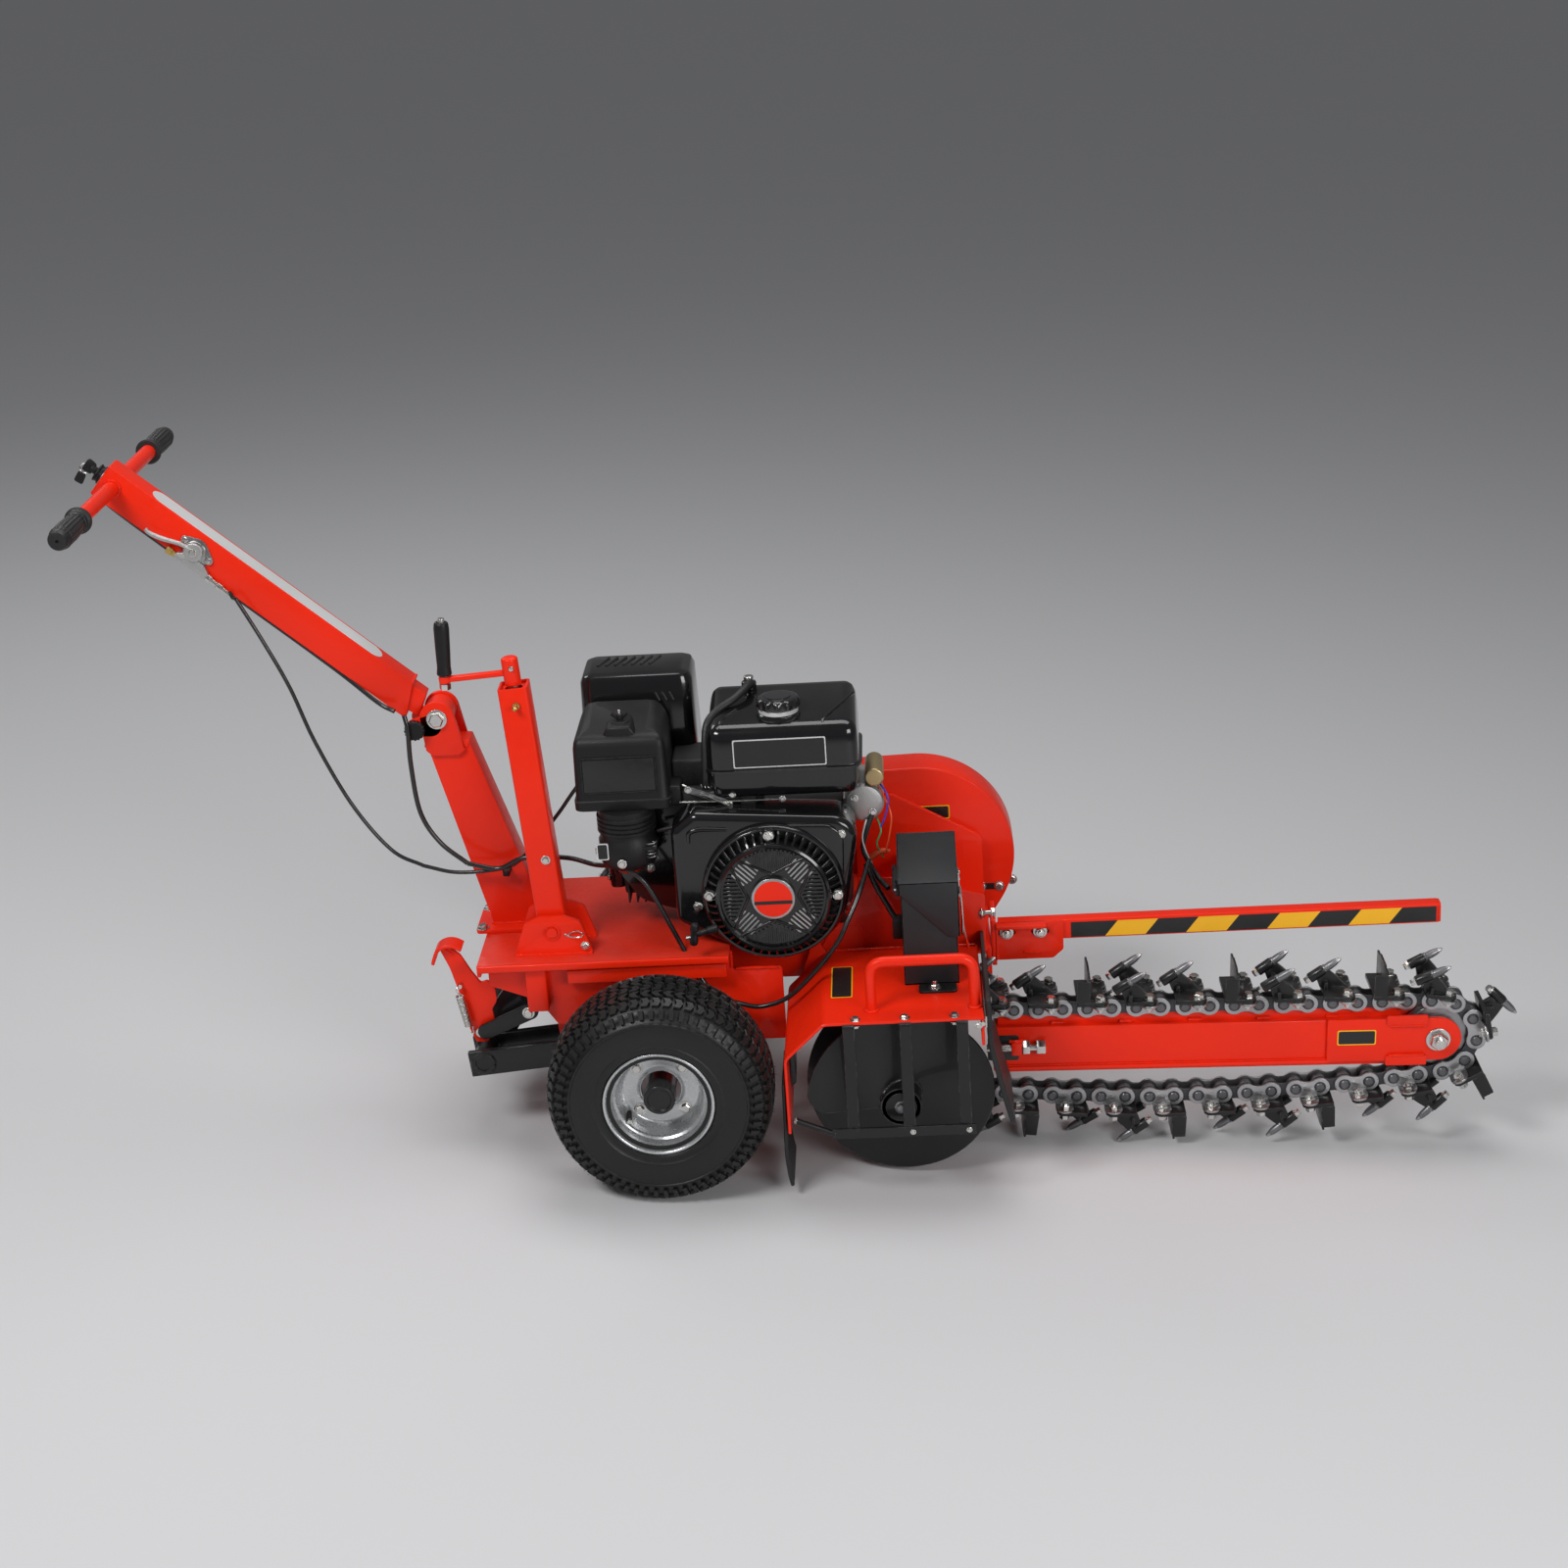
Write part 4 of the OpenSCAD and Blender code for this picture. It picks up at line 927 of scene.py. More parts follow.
def deck():
    """Folded deck plate with rails, side plates and the chassis panel."""
    piece = Piece("deck_plate", "frame", "deck")
    top = span("deck")[1].z
    slot = oblong(-228, -140, -138, -80)
    plate = [(-312, -185), (118, -185), (118, -57), (335, -57), (335, 150), (118, 150), (118, 185),
             (-312, 185)]
    piece.add(slab(plate, top - 8, top, 1, holes=[slot], along="z"), "red_deck")
    for side in (-1, 1):
        y0, y1 = sorted((side * 181, side * 188))
        piece.add(block((-312, y0, top - 13), (118, y1, top), 2.5, 3), "red_paint")
        y0, y1 = sorted((side * 151, side * 157))
        outline = [(-298, top - 4), (-298, 312), (-216, 280), (-186, 234), (-118, 234), (-62, 302),
                   (62, 302), (62, top - 4)]
        piece.add(slab(soften(outline, 6), y0, y1, 1.2), "red_paint")
        y0, y1 = sorted((side * 157, side * 176))
        piece.boxes("red_paint", ((-232, y0, 268), (-197, y1, top - 6), 2),
                    ((-160, y0, top - 44), (112, min(y1, 170), top - 20), 2))
        piece.weld([(-233, side * 158, 350), (-233, side * 158, 272)], 2.2)
    piece.add(block((-313, -183, top - 22), (-306, 183, top - 1), 2), "red_paint")
    for y in (-34, 60):
        frame_outline = oblong(y - 22, top - 62, y + 22, top - 8)
        opening = oblong(y - 18, top - 58, y + 18, top - 12)
        piece.add(slab(frame_outline, -290, 270, 1.5, holes=[opening], along="x"), "red_paint")
    panel = [(60, 186), (205, 186), (205, 322), (118, 322), (118, top - 4), (60, top - 4)]
    piece.add(slab(soften(panel, 5), -150, -142, 1.5), "red_paint")
    piece.add(slab(soften([(112, 262), (262, 262), (345, 300), (345, top - 8), (112, top - 8)], 4), -64.5,
                   -58.5, 1.2), "red_paint")
    piece.weld([(119, -151, 324), (119, -151, 356)], 2.6)
    piece.weld([(126, -151, 322), (203, -151, 322)], 2.6)
    for x, y in ((-318, -42), (-208, -42), (-318, 42), (-208, 42)):
        piece.bolt((x, y, top + 8), UP, 8)
    piece.done()


def drive_frame():
    """Welded box that carries the shafts, with the plate beside the engine."""
    piece = Piece("drive_box", "frame", "drive_frame")
    deck_top = span("deck")[1].z
    back = [(335, 480), (400, 520), (560, 430), (560, 280), (470, 80), (335, 80)]
    holes = [arc((HEAD.x, HEAD.z), 47, 0, 360, 40), arc((MID.x, MID.z), 35, 0, 360, 36)]
    piece.add(slab(soften(back, 8), 130, 138, 1.5, holes=holes), "red_paint")
    front = [(262, 294), (283, 338), (322, 388), (345, 440), (405, 440), (556, 400), (556, 294)]
    piece.add(slab(soften(front, 4), -64, -59, 1.2), "red_paint")
    piece.boxes("red_paint", ((335, -61, 292), (344, 134, deck_top), 1.5),
                ((340, -61, 292), (558, 134, 300), 1.5), ((557, -50, 230), (565, 134, 296), 1.5),
                ((380, -50, 184), (416, 10, 296), 1.5), ((380, 20, 184), (416, 134, 296), 1.5))
    for at, outer, inner, start, end in ((HEAD, 48, 25.3, -50, 134), (MID, 36, 20.3, 60, 134)):
        ring = [(inner, 0), (outer, 0), (outer, end - start), (inner, end - start), (inner, 0)]
        piece.add(turned(soften(ring[:-1], 1.5) + [ring[0]], 56, capped=False), "red_paint",
                  facing((at.x, start, at.z), FAR))
        for turn in range(45, 360, 90):
            piece.bolt(round_at(at, outer - 9, turn, end), FAR, 6)
    piece.weld([(264, -66, 300), (284, -66, 338), (322, -66, 386)], 2.8)
    piece.weld([(346, -60, 291), (556, -60, 291)], 2.6)
    piece.weld([(558, -51, 232), (558, -51, 290)], 2.6)
    piece.done()


deck()
drive_frame()

# ---- Engine ----


def blank_label(piece, centre, level, size, out=-1, along="y", frame_paint="amber", field="label_black",
                place=None):
    """A label without lettering: a coloured frame round a plain field."""
    for paint, inset, lift in ((frame_paint, 0, 0.4), (field, 2.0, 0.7)):
        wide, tall = size[0] / 2 - inset, size[1] / 2 - inset
        field_outline = oblong(centre[0] - wide, centre[1] - tall, centre[0] + wide, centre[1] + tall, 3)
        low, high = sorted((level - out * 0.5, level + out * lift))
        piece.add(slab(field_outline, low, high, 0, along=along), paint, place)


def crankcase():
    """Cast block with its feet, ribs, filler and drain."""
    piece = Piece("engine_block", "frame", "crankcase")
    low, high = span("crankcase")
    piece.add(block((95, -58, low.z + 20), (320, 118, high.z), 12, 4), "cast_dark")
    piece.add(block((82, -52, low.z), (328, 112, low.z + 20), 3), "cast_dark")
    for x in range(120, 310, 30):
        piece.add(block((x, 112, low.z + 30), (x + 6, 124, high.z - 20), 2), "cast_dark")
    piece.add(drum(52, 12, 2, 56), "cast_dark", facing((ENGINE.x, 117, ENGINE.z), FAR))
    for turn in range(30, 390, 60):
        piece.bolt(round_at(ENGINE, 44, turn, 129), FAR, 6)
    for x in (92, 318):
        for y in (-44, 104):
            piece.bolt((x, y, low.z + 20), UP, 8)
    piece.add(drum(14, 26, 3, 24), "black_plastic", facing((112, 120, 420), (-0.3, 1, 0.6)))
    piece.add(block((322, -40, 520), (331, 60, 560), 2), "cast_dark")
    piece.done()


def blower():
    """Glossy pressed shroud with rounded edges and a raised volute."""
    piece = Piece("blower_shroud", "frame", "blower_housing")
    centre = (ENGINE.x, ENGINE.z)
    outline = hull(arc(centre, 128, 0, 360, 96) + arc((52, 568), 20, 90, 190, 10)
                   + arc((52, 424), 20, 170, 260, 10)
                   + arc((78, 588), 20, 80, 130, 6) + arc((300, 548), 44, -20, 95, 20))
    piece.add(slab(outline, -150, -60, 13, 5), "engine_black")
    volute = hull(arc(centre, 119, 0, 360, 96) + arc((288, 546), 34, -10, 90, 16))
    piece.add(slab(volute, -156, -148, 5, 4), "engine_black")
    ridge = flowing([(62, -150, 556), (64, -151, 574), (82, -151, 580), (128, -151, 578)], 6)
    piece.add(tube(ridge, [3 + 1.5 * math.sin(math.pi * i / (len(ridge) - 1)) for i in range(len(ridge))],
                   12), "engine_black")
    for x, z in ((70, 440), (318, 560)):
        piece.bolt((x, -150, z), NEAR, 6)
    piece.boxes("engine_black", ((295, -70, 362), (318, -50, 392), 2), ((80, -70, 362), (102, -50, 392), 2))
    piece.done()


RING_FACE = 34
DISC_FACE = 31


def recoil_cover():
    """Starter cover: a ring of radial ribs round a face with ridges, grilles and slots."""
    back = span("recoil_cover")[1].y
    piece = Piece("recoil_grille", "frame", "recoil_cover", place=facing((ENGINE.x, back, ENGINE.z), NEAR))
    rim_profile = [(113, 0), (121, 0), (121.5, 9), (120, 14), (117, 16.5), (114, 16), (112.5, 12), (113, 0)]
    piece.add(turned(rim_profile, 96, capped=False), "engine_black")
    piece.add(drum(113.5, 8, 0, 72), "soft_rubber")
    for i in range(48):
        rib = [(95, 6), (114, 6), (114, 16), (108, 25), (96, RING_FACE)]
        piece.add(slab(rib, -1.9, 1.9, 0.5, 1), "engine_black",
                  Matrix.Rotation(math.radians(7.5 * i), 4, "Z"))
    face = [(0, 6), (98, 6), (98, RING_FACE), (96.5, 38), (93, 40), (89.5, 38.5), (88, DISC_FACE),
            (0, DISC_FACE)]
    piece.add(turned(face, 96), "engine_black")
    for turn in (0, 90, 180, 270):
        spin = Matrix.Rotation(math.radians(turn), 4, "Z")
        for side in (-1, 1):
            piece.add(tube([(42, 0, DISC_FACE), (68, side * 56, DISC_FACE)], 2.6, 10), "engine_black", spin)
        for step in range(-7, 8):
            offset = step * 7
            start, end = 48 + abs(offset) * 0.47, math.sqrt(85**2 - offset**2)
            if end > start + 6:
                bar = oblong(start, offset - 1.8, end, offset + 1.8)
                piece.add(slab(bar, DISC_FACE - 1, DISC_FACE + 3.4, 0.6, 1, along="z"), "engine_black",
                          spin)
        corner = Matrix.Rotation(math.radians(turn + 45), 4, "Z")
        for step in (-2.5, -1.5, -0.5, 0.5, 1.5, 2.5):
            offset = step * 7
            start, end = 47 + abs(offset) * 0.25, 82 - abs(offset) * 0.3
            slot = arc((start, offset), 1.3, 90, 270, 5) + arc((end, offset), 1.3, -90, 90, 5)
            piece.add(slab(slot, DISC_FACE - 1, DISC_FACE + 0.5, 0, along="z"), "bright_steel", corner)
            lip = arc((start, offset + 2.7), 1, 90, 270, 5) + arc((end, offset + 2.7), 1, -90, 90, 5)
            piece.add(slab(lip, DISC_FACE - 1, DISC_FACE + 1.6, 0, along="z"), "engine_black", corner)
    piece.add(turned(oblong(0, DISC_FACE, 37, 41), 64, edge=1.5), "bright_steel")
    piece.add(drum(32.2, 1.4, 0.4, 64, 40.5), "red_paint")
    piece.add(block((-32, -9, 41.2), (32, -3, 42.4), 0), "label_black")
    for turn in (91, -2, 178):
        piece.add(drum(11, 22, 2, 24), "engine_black", Matrix.Translation(polar(108, turn, 4)))
        piece.bolt(polar(108, turn, 26), UP, 6.5)
    piece.done()


def recoil_grip():
    """Black pull grip at the side of the cover."""
    piece = Piece("starter_pull", "starter_grip", "recoil_grip")
    bar = [(0, -3), (5, -3), (7, 0), (7.4, 8), (6.2, 17), (7.4, 26), (7, 34), (5, 37), (0, 37)]
    piece.add(turned(bar, 24, edge=1.5), "black_plastic", facing((62, -199, 394), (0.12, 0, 1)))
    neck = [(66, -199, 412), (76, -199, 413), (88, -198, 416), (104, -197, 420)]
    piece.add(tube(flowing(neck, 5), [6] * 5 + [5.2] * 5 + [7] * 6, 14), "black_plastic")
    piece.add(tube([(50, -199, 404), (60, -199, 405)], 3.6, 12), "bright_steel")
    piece.done()


def cylinder():
    """Finned cylinder, head and valve cover."""
    piece = Piece("cylinder_fins", "frame", "cylinder_head")
    low, high = span("cylinder_head")
    piece.add(block((-64, -46, low.z + 12), (92, 56, high.z - 12), 6, 3), "cast_dark")
    for i in range(11):
        x = -58 + i * 14
        piece.add(block((x, low.y, low.z), (x + 3.4, high.y, high.z), 1), "cast_dark")
    piece.add(rounded_box((-90, -38, low.z + 20), (-62, 48, high.z - 24), 12, 5), "engine_black")
    for y, z in ((-28, 450), (38, 450), (-28, 534), (38, 534)):
        piece.bolt((-90, y, z), (-1, 0, 0), 5)
    piece.add(drum(9, 26, 1.5, 16), "label_white", facing((-40, -40, 480), (-0.4, -1, 0.1)))
    piece.done()


def air_filter():
    """Filter box with its inset panel, saddle and wing nut, over the ribbed intake body."""
    piece = Piece("filter_box", "frame", "air_filter")
    low, high = (-128, -130), (37, 22)

    def ring(level, inset, climb=0.0, slide=0.0):
        x0, x1, y0, y1 = low[0] + inset, high[0] - inset, low[1] + inset + slide, high[1] - inset
        corner = max(20 - inset, 6)
        square = oblong(x0, y0, x1, y1, corner, steps=6)
        return [(x, y, level + climb * min(1, max(0, (y - y0) / 70))) for x, y in square]

    levels = [ring(612, 3), ring(613, 0.5), ring(628, 0), ring(629, 2), ring(631, 3), ring(720, 5),
              ring(731, 7), ring(737, 11, 4), ring(741, 17, 12), ring(743, 24, 19), ring(744, 34, 23)]
    piece.add(loft(levels), "black_plastic")
    panel = oblong(-108, 646, 12, 704, 3)
    piece.add(slab(panel, -128.2, -120, 0.6), "label_black")
    corners = oblong(-110, 644, 14, 706)
    for (x0, z0), (x1, z1) in zip(corners, corners[1:] + corners[:1]):
        piece.add(tube([(x0, -127, z0), (x1, -127, z1)], 1.3, 8), "black_plastic")
    piece.add(slab(hull([(-74, 736), (-62, 756), (-24, 756), (-12, 736)]), -114, -40, 5, 3),
              "black_plastic")
    nut_x, nut_y = -43, -84
    piece.add(drum(17, 4, 1.5, 32), "black_plastic", Matrix.Translation((nut_x, nut_y, 754)))
    piece.add(drum(6, 12, 1.5, 20), "black_plastic", Matrix.Translation((nut_x, nut_y, 757)))
    for side in (-1, 1):
        piece.add(tube([(nut_x + side * 4, nut_y, 762), (nut_x + side * 13, nut_y, 770)], 3, 10),
                  "black_plastic")
    piece.add(drum(2.6, 8, 0.8, 12), "zinc", Matrix.Translation((nut_x, nut_y, 768)))
    body = [(0, 505), (30, 505), (44, 512), (49, 522), (49, 558), (46, 562), (46, 572)]
    for i in range(4):
        body += [(49.5, 574 + 8 * i), (49.5, 578 + 8 * i), (46.5, 579 + 8 * i), (46.5, 581 + 8 * i)]
    body += [(46, 612), (0, 612)]
    centre = (-44, -108.5)
    piece.add(turned(body, 56), "black_plastic", Matrix.Translation((*centre, 0)))
    piece.add(turned([(0, 492), (14, 493), (22, 498), (27, 506), (0, 506)], 32), "bright_steel",
              Matrix.Translation((*centre, 0)))
    for turn, level in ((200, 540), (262, 528), (318, 512)):
        outward = polar(1, turn)
        at = Vector((*centre, level)) + outward * 47
        piece.add(drum(8, 10, 1.5, 16), "black_plastic", facing(at - outward * 4, outward))
        piece.bolt(at + outward * 5, outward, 6)
    blank_label(piece, (-84, 546), -147, (20, 30), frame_paint="label_white")
    piece.add(block((-20, -150, 545), (8, -100, 552), 2), "black_plastic")
    coil = []
    for i in range(61):
        turn = 2 * math.pi * i / 12
        coil.append((-2 + 9 * math.cos(turn), -138 + 9 * math.sin(turn), 528 + 0.5 * i))
    piece.add(tube(coil, 1.4, 8), "bare_steel")
    piece.done()


def muffler():
    """Muffler guard with louvres and two sunk screws."""
    piece = Piece("muffler_guard", "frame", "muffler")
    low, high = span("muffler")
    box_low, box_high = (low.x, 26, 640), (72, high.y, high.z)
    piece.add(rounded_box(box_low, box_high, 26, 16, flare=4), "engine_black")
    for i in range(7):
        x = -92 + i * 15
        piece.add(tube([(x, 78, high.z), (x + 16, 122, high.z)], 2.6, 8), "soft_rubber")
    for i in range(3):
        x = 8 + i * 12
        piece.add(tube([(x, 28, 768), (x + 8, 22.5, 752)], 2.4, 8), "soft_rubber")
        piece.add(tube([(70 - i * 2, 60, 690 + i * 18), (70 - i * 2, 110, 702 + i * 18)], 2.6, 8),
                  "soft_rubber")
    for x in (-66, 26):
        piece.add(turned([(12, -3), (13, 0), (10, 0.6), (9, -2), (12, -3)], 28, capped=False),
                  "engine_black", facing((x, 40, high.z - 8), (0, -0.5, 1)))
        piece.bolt((x, 42, high.z - 8), (0, -0.5, 1), 6)
    piece.add(tube([(-60, 41, 575), (-60, 41, 645)], 17, 24), "cast_dark")
    piece.add(tube([(-100, 140, 676), (-100, 164, 676)], 16, 28), "cast_dark")
    piece.done()


def fuel_tank():
    """Pressed tank with its seam, sloping top, filler neck, breather and plain framed panel."""
    piece = Piece("petrol_tank", "frame", "fuel_tank")
    low, high = span("fuel_tank")
    x0, x1, y0, y1 = low.x, high.x, low.y, high.y

    def ring(level, inset, climb=0.0):
        corner = max(26 - inset, 8)
        square = oblong(x0 + inset, y0 + inset, x1 - inset, y1 - inset, corner, steps=7)
        return [(x, y, level + climb * (y - y0) / (y1 - y0)) for x, y in square]

    levels = [(612, 26), (613, 18), (617, 9), (624, 5), (640, 3.5), (661, 3), (662, 0.5), (663, -3),
              (666, -3), (667, 0.5), (668, 2), (700, 2, 6), (718, 3, 16), (727, 5, 24), (733, 9, 28),
              (736.5, 15, 30), (738, 24, 30)]
    piece.add(loft([ring(*level) for level in levels]), "engine_black")
    blank_label(piece, (222, 695), y0 + 1.7, (156, 50), frame_paint="label_white")
    neck = (222, -50)
    piece.add(turned([(0, 735), (36, 735), (40, 742), (36, 747), (33, 749), (0, 749)], 48), "engine_black",
              Matrix.Translation((*neck, 0)))
    piece.add(turned([(0, 748), (33, 748), (33.5, 750), (33, 756), (0, 756)], 48), "label_white",
              Matrix.Translation((*neck, 0)))
    piece.add(drum(13, 16, 4, 28), "gloss_black_plastic", Matrix.Translation((170, 34, 760)))
    hose = flowing([(172, 30, 776), (166, 4, 774), (146, -24, 764), (118, -44, 752), (101, -66, 736),
                    (96, -84, 700), (94, -86, 650), (92, -78, 622)], 6)
    piece.add(tube(hose, 6.5, 14), "soft_rubber")
    piece.add(drum(8.5, 10, 2, 20), "zinc", Matrix.Translation((170, 34, 775)))
    for ridge in ([(296, -96, 735), (300, -80, 743), (330, -30, 752), (348, 4, 756)],
                  [(122, -98, 735), (128, -70, 744), (150, -40, 750)]):
        piece.add(tube(flowing(ridge, 5), 3, 10), "engine_black")
    piece.done()


def fuel_cap():
    """Scalloped screw cap."""
    piece = Piece("petrol_cap", "cap", "fuel_cap")
    top = span("fuel_cap")[1].z

    def scallop(turn, height):
        return 1 + (0.04 * math.cos(12 * turn) if top - 19 < height < top - 3 else 0)

    profile = [(0, top - 20), (33, top - 20), (36, top - 18), (36, top - 6), (34, top - 2.6), (29, top - 1),
               (24, top - 1), (22, top + 1), (0, top + 1.4)]
    at = pivot("fuel_cap_turn")
    piece.add(turned(profile, 96, scallop), "gloss_black_plastic", Matrix.Translation((at.x, at.y, 0)))
    piece.add(drum(23, 20, 1, 32, top - 40), "black_plastic", Matrix.Translation((at.x, at.y, 0)))
    piece.done()


def starter():
    """Electric starter with its solenoid and leads."""
    piece = Piece("electric_starter", "frame", "starter_motor")
    at = (358, 575)
    profile = [(0, 0), (22, 0), (31, 3), (34, 8), (34, 14), (32, 15), (32, 17), (33.4, 18), (33.4, 70),
               (30, 74), (30, 112), (26, 116), (0, 116)]
    piece.add(turned(profile, 48), "cast_alloy", facing((at[0], -56, at[1]), FAR))
    piece.add(turned(oblong(0, 0, 16, 86), 32, edge=3), "tan_zinc", facing((377, -56, 622), FAR))
    for dx, dz in ((14, -14), (-16, 12)):
        piece.bolt((at[0] + dx, -58, at[1] + dz), NEAR, 5)
    piece.add(block((320.5, 8, 540), (334, 52, 562), 2), "cast_alloy")
    strands = [("wire_blue", [(380, -30, 610), (398, -60, 590), (394, -66, 560), (384, -66, 536)]),
               ("wire_green", [(372, -40, 560), (384, -62, 530), (376, -66, 505), (386, -68, 480)]),
               ("wire_red", [(384, -40, 600), (402, -64, 560), (398, -66, 520), (390, -68, 490)]),
               ("label_white", [(360, -60, 548), (352, -66, 520), (356, -68, 495), (366, -69, 470)])]
    for paint, path in strands:
        piece.add(tube(flowing(path, 8), 1.5, 8), paint)
    thick = flowing([(372, -56, 560), (360, -62, 530), (352, -64, 500), (360, -67, 474), (376, -84, 450),
                     (392, -108, 440)], 8)
    piece.add(tube(thick, 4.5, 12), "soft_rubber")
    hot = flowing([(358, -64, 470), (368, -64, 482), (382, -64, 490), (398, -64, 490)], 8)
    piece.add(tube(hot, [3 + 3 * math.sin(math.pi * i / (len(hot) - 1)) for i in range(len(hot))], 12),
              "wire_red")
    piece.done()


def throttle_linkage():
    """Governor arm, rods, spring and loom, with the intake and the baffle behind them."""
    piece = Piece("governor_linkage", "frame")
    piece.add(tube([(48, -104, 612), (150, -106, 611), (222, -104, 610)], 1.6, 8), "zinc")
    piece.add(tube([(54, -96, 640), (96, -104, 622), (132, -108, 604)], 2.2, 8), "zinc")
    arm = hull(arc((64, 634), 6, 0, 360, 16) + arc((132, 606), 5, 0, 360, 16))
    piece.add(slab(arm, -103, -100, 0.6), "bare_steel")
    arm = hull(arc((92, 620), 5, 0, 360, 16) + arc((138, 622), 9, 0, 360, 16))
    piece.add(slab(arm, -98, -95, 0.6), "bare_steel")
    for x, z in ((64, 634), (132, 606), (138, 622), (222, 610)):
        piece.bolt((x, -104, z), NEAR, 4.5)
    piece.boxes("cast_dark", ((52, -92, 606), (168, -60, 626), 3), ((150, -96, 600), (176, -60, 640), 3))
    piece.add(block((34, -52, 600), (112, 40, 668), 5, 3), "cast_dark")
    piece.add(block((-24, -100, 604), (52, -40, 640), 5, 3), "black_plastic")
    baffle = soften([(-66, 588), (-66, 470), (-34, 424), (20, 404), (84, 400), (84, 600)], 10)
    piece.add(slab(baffle, -72, -63, 3), "engine_black")
    piece.add(block((60, -60, 585), (188, 40, 604), 2), "cast_dark")
    loom = flowing([(8, -112, 566), (40, -118, 574), (70, -112, 572), (104, -104, 578), (140, -90, 594),
                    (170, -80, 606)], 8)
    piece.add(tube(loom, 3.6, 10), "soft_rubber")
    piece.add(drum(5, 14, 1, 16), "black_plastic", facing((56, -118, 568), (0, 0, -1)))
    spring = []
    for i in range(85):
        turn = 2 * math.pi * i / 10
        spring.append((84 + 0.55 * i, -88 + 3 * math.cos(turn), 634 + 3 * math.sin(turn) - 0.1 * i))
    piece.add(tube(spring, 0.7, 6), "zinc")
    piece.done()


crankcase()
blower()
recoil_cover()
recoil_grip()
cylinder()
air_filter()
muffler()
fuel_tank()
fuel_cap()
starter()
throttle_linkage()

# ---- Belt cover ----


def star(centre, outlines, steps=180):
    """The outline of several overlapping shapes, as seen from a point inside them all."""
    made = []
    centre = Vector(centre)
    for i in range(steps):
        turn = 2 * math.pi * i / steps
        ray = Vector((math.cos(turn), math.sin(turn)))
        reach = 0
        for shape in outlines:
            for a, b in zip(shape, shape[1:] + shape[:1]):
                a, side = Vector(a) - centre, Vector(b) - Vector(a)
                cross = ray.x * side.y - ray.y * side.x
                if abs(cross) < 1e-9:
                    continue
                far = (a.x * side.y - a.y * side.x) / cross
                along = (a.x * ray.y - a.y * ray.x) / cross
                if far > 0 and -1e-9 <= along <= 1 + 1e-9:
                    reach = max(reach, far)
        made.append(tuple(centre + ray * reach))
    return made


def cover_outline(margin):
    """Outline of the belt cover, drawn in or out by a margin."""
    mid = arc((MID.x, MID.z), 170 + margin, 0, 360, 96)
    engine = hull(mid + arc((ENGINE.x, ENGINE.z), 84 + margin, 0, 360, 64))
    head = hull(mid + arc((HEAD.x, HEAD.z), 84 + margin, 0, 360, 64))
    return star((MID.x - 40, MID.z - 20), [[tuple(p) for p in engine], [tuple(p) for p in head]])


def belt_cover():
    """Red cover over the drive, with a flange, bolts and its slotted adjuster, whose slot is a black sheet of
    painted shade.
    """
    piece = Piece("drive_cover", "frame", "belt_cover")
    low, high = span("belt_cover")
    piece.add(slab(cover_outline(0), low.y, high.y, 5, 3), "red_paint")
    piece.add(slab(cover_outline(-16), high.y - 1, high.y + 1.5, 1.2), "red_paint")
    piece.add(slab(cover_outline(-1), low.y - 2.5, low.y + 3, 0.8), "red_paint")
    for at, radius in ((MID, 120), (HEAD, 58), (ENGINE, 58)):
        for turn in range(30, 390, 120):
            piece.bolt(round_at(at, radius, turn, high.y + 1.5), FAR, 6)
    for at, radius in ((MID, 26), (HEAD, 20)):
        piece.add(pipe(radius - 6, radius, 0, 3), "red_paint", facing((at.x, high.y + 1, at.z), FAR))
    blank_label(piece, (300, 455), high.y + 1.5, (90, 40), out=1)
    blank_label(piece, (470, 470), low.y - 2.5, (70, 26))
    piece.bolt((612, low.y + 6, 330), NEAR, 7)
    # The adjuster slot is a black sheet: painted shade standing for the dark inside of the opening.
    slot = arc((556, 322), 6, 90, 270, 8) + arc((588, 322), 6, -90, 90, 8)
    piece.add(slab(slot, low.y - 4, low.y - 2, 0.5), "label_black")
    for x in (556, 588):
        piece.bolt((x, low.y - 4, 322), NEAR, 7)
    piece.done()


belt_cover()

# ---- Auger, hood and guards ----


def auger():
    """Flight wound on its tube, with the end bolt."""
    piece = Piece("spoil_auger", "head", "auger")
    start, end, turns = -334, -210, 450
    steps = 108
    part = bmesh.new()
    rings = []
    for i in range(steps + 1):
        share = i / steps
        turn = math.radians(184 - turns * share)
        y = start + (end - start) * share
        reach = 158 - 26 * max(0, 1 - share * 30) ** 2 - 26 * max(0, 1 - (1 - share) * 30) ** 2
        ring = []
        for radius, lift in ((33, 0), (reach - 1, 0), (reach, 1), (reach, 3.6), (reach - 1, 4.6),
                             (33, 4.6)):
            ring.append(part.verts.new((HEAD.x + radius * math.cos(turn), y + lift,
                                        HEAD.z + radius * math.sin(turn))))
        rings.append(ring)
    piece.add(skin(part, rings), "black_paint")
    piece.add(pipe(25.2, 34, 0, 160, 48), "black_paint", facing((HEAD.x, -338, HEAD.z), FAR))
    piece.add(drum(33, 4, 1, 48), "black_paint", facing((HEAD.x, -334, HEAD.z), NEAR))
    piece.add(drum(26, 3, 1, 40), "black_paint", facing((HEAD.x, -337, HEAD.z), NEAR))
    piece.bolt((HEAD.x, -339, HEAD.z), NEAR, 8, "bare_steel")
    seam = []
    for i in range(70):
        turn = math.radians(184 - turns * i / 69)
        seam.append((HEAD.x + 35 * math.cos(turn), start - 1 + (end - start) * i / 69,
                     HEAD.z + 35 * math.sin(turn)))
    piece.weld(seam, 2.2, "black_paint")
    piece.done()


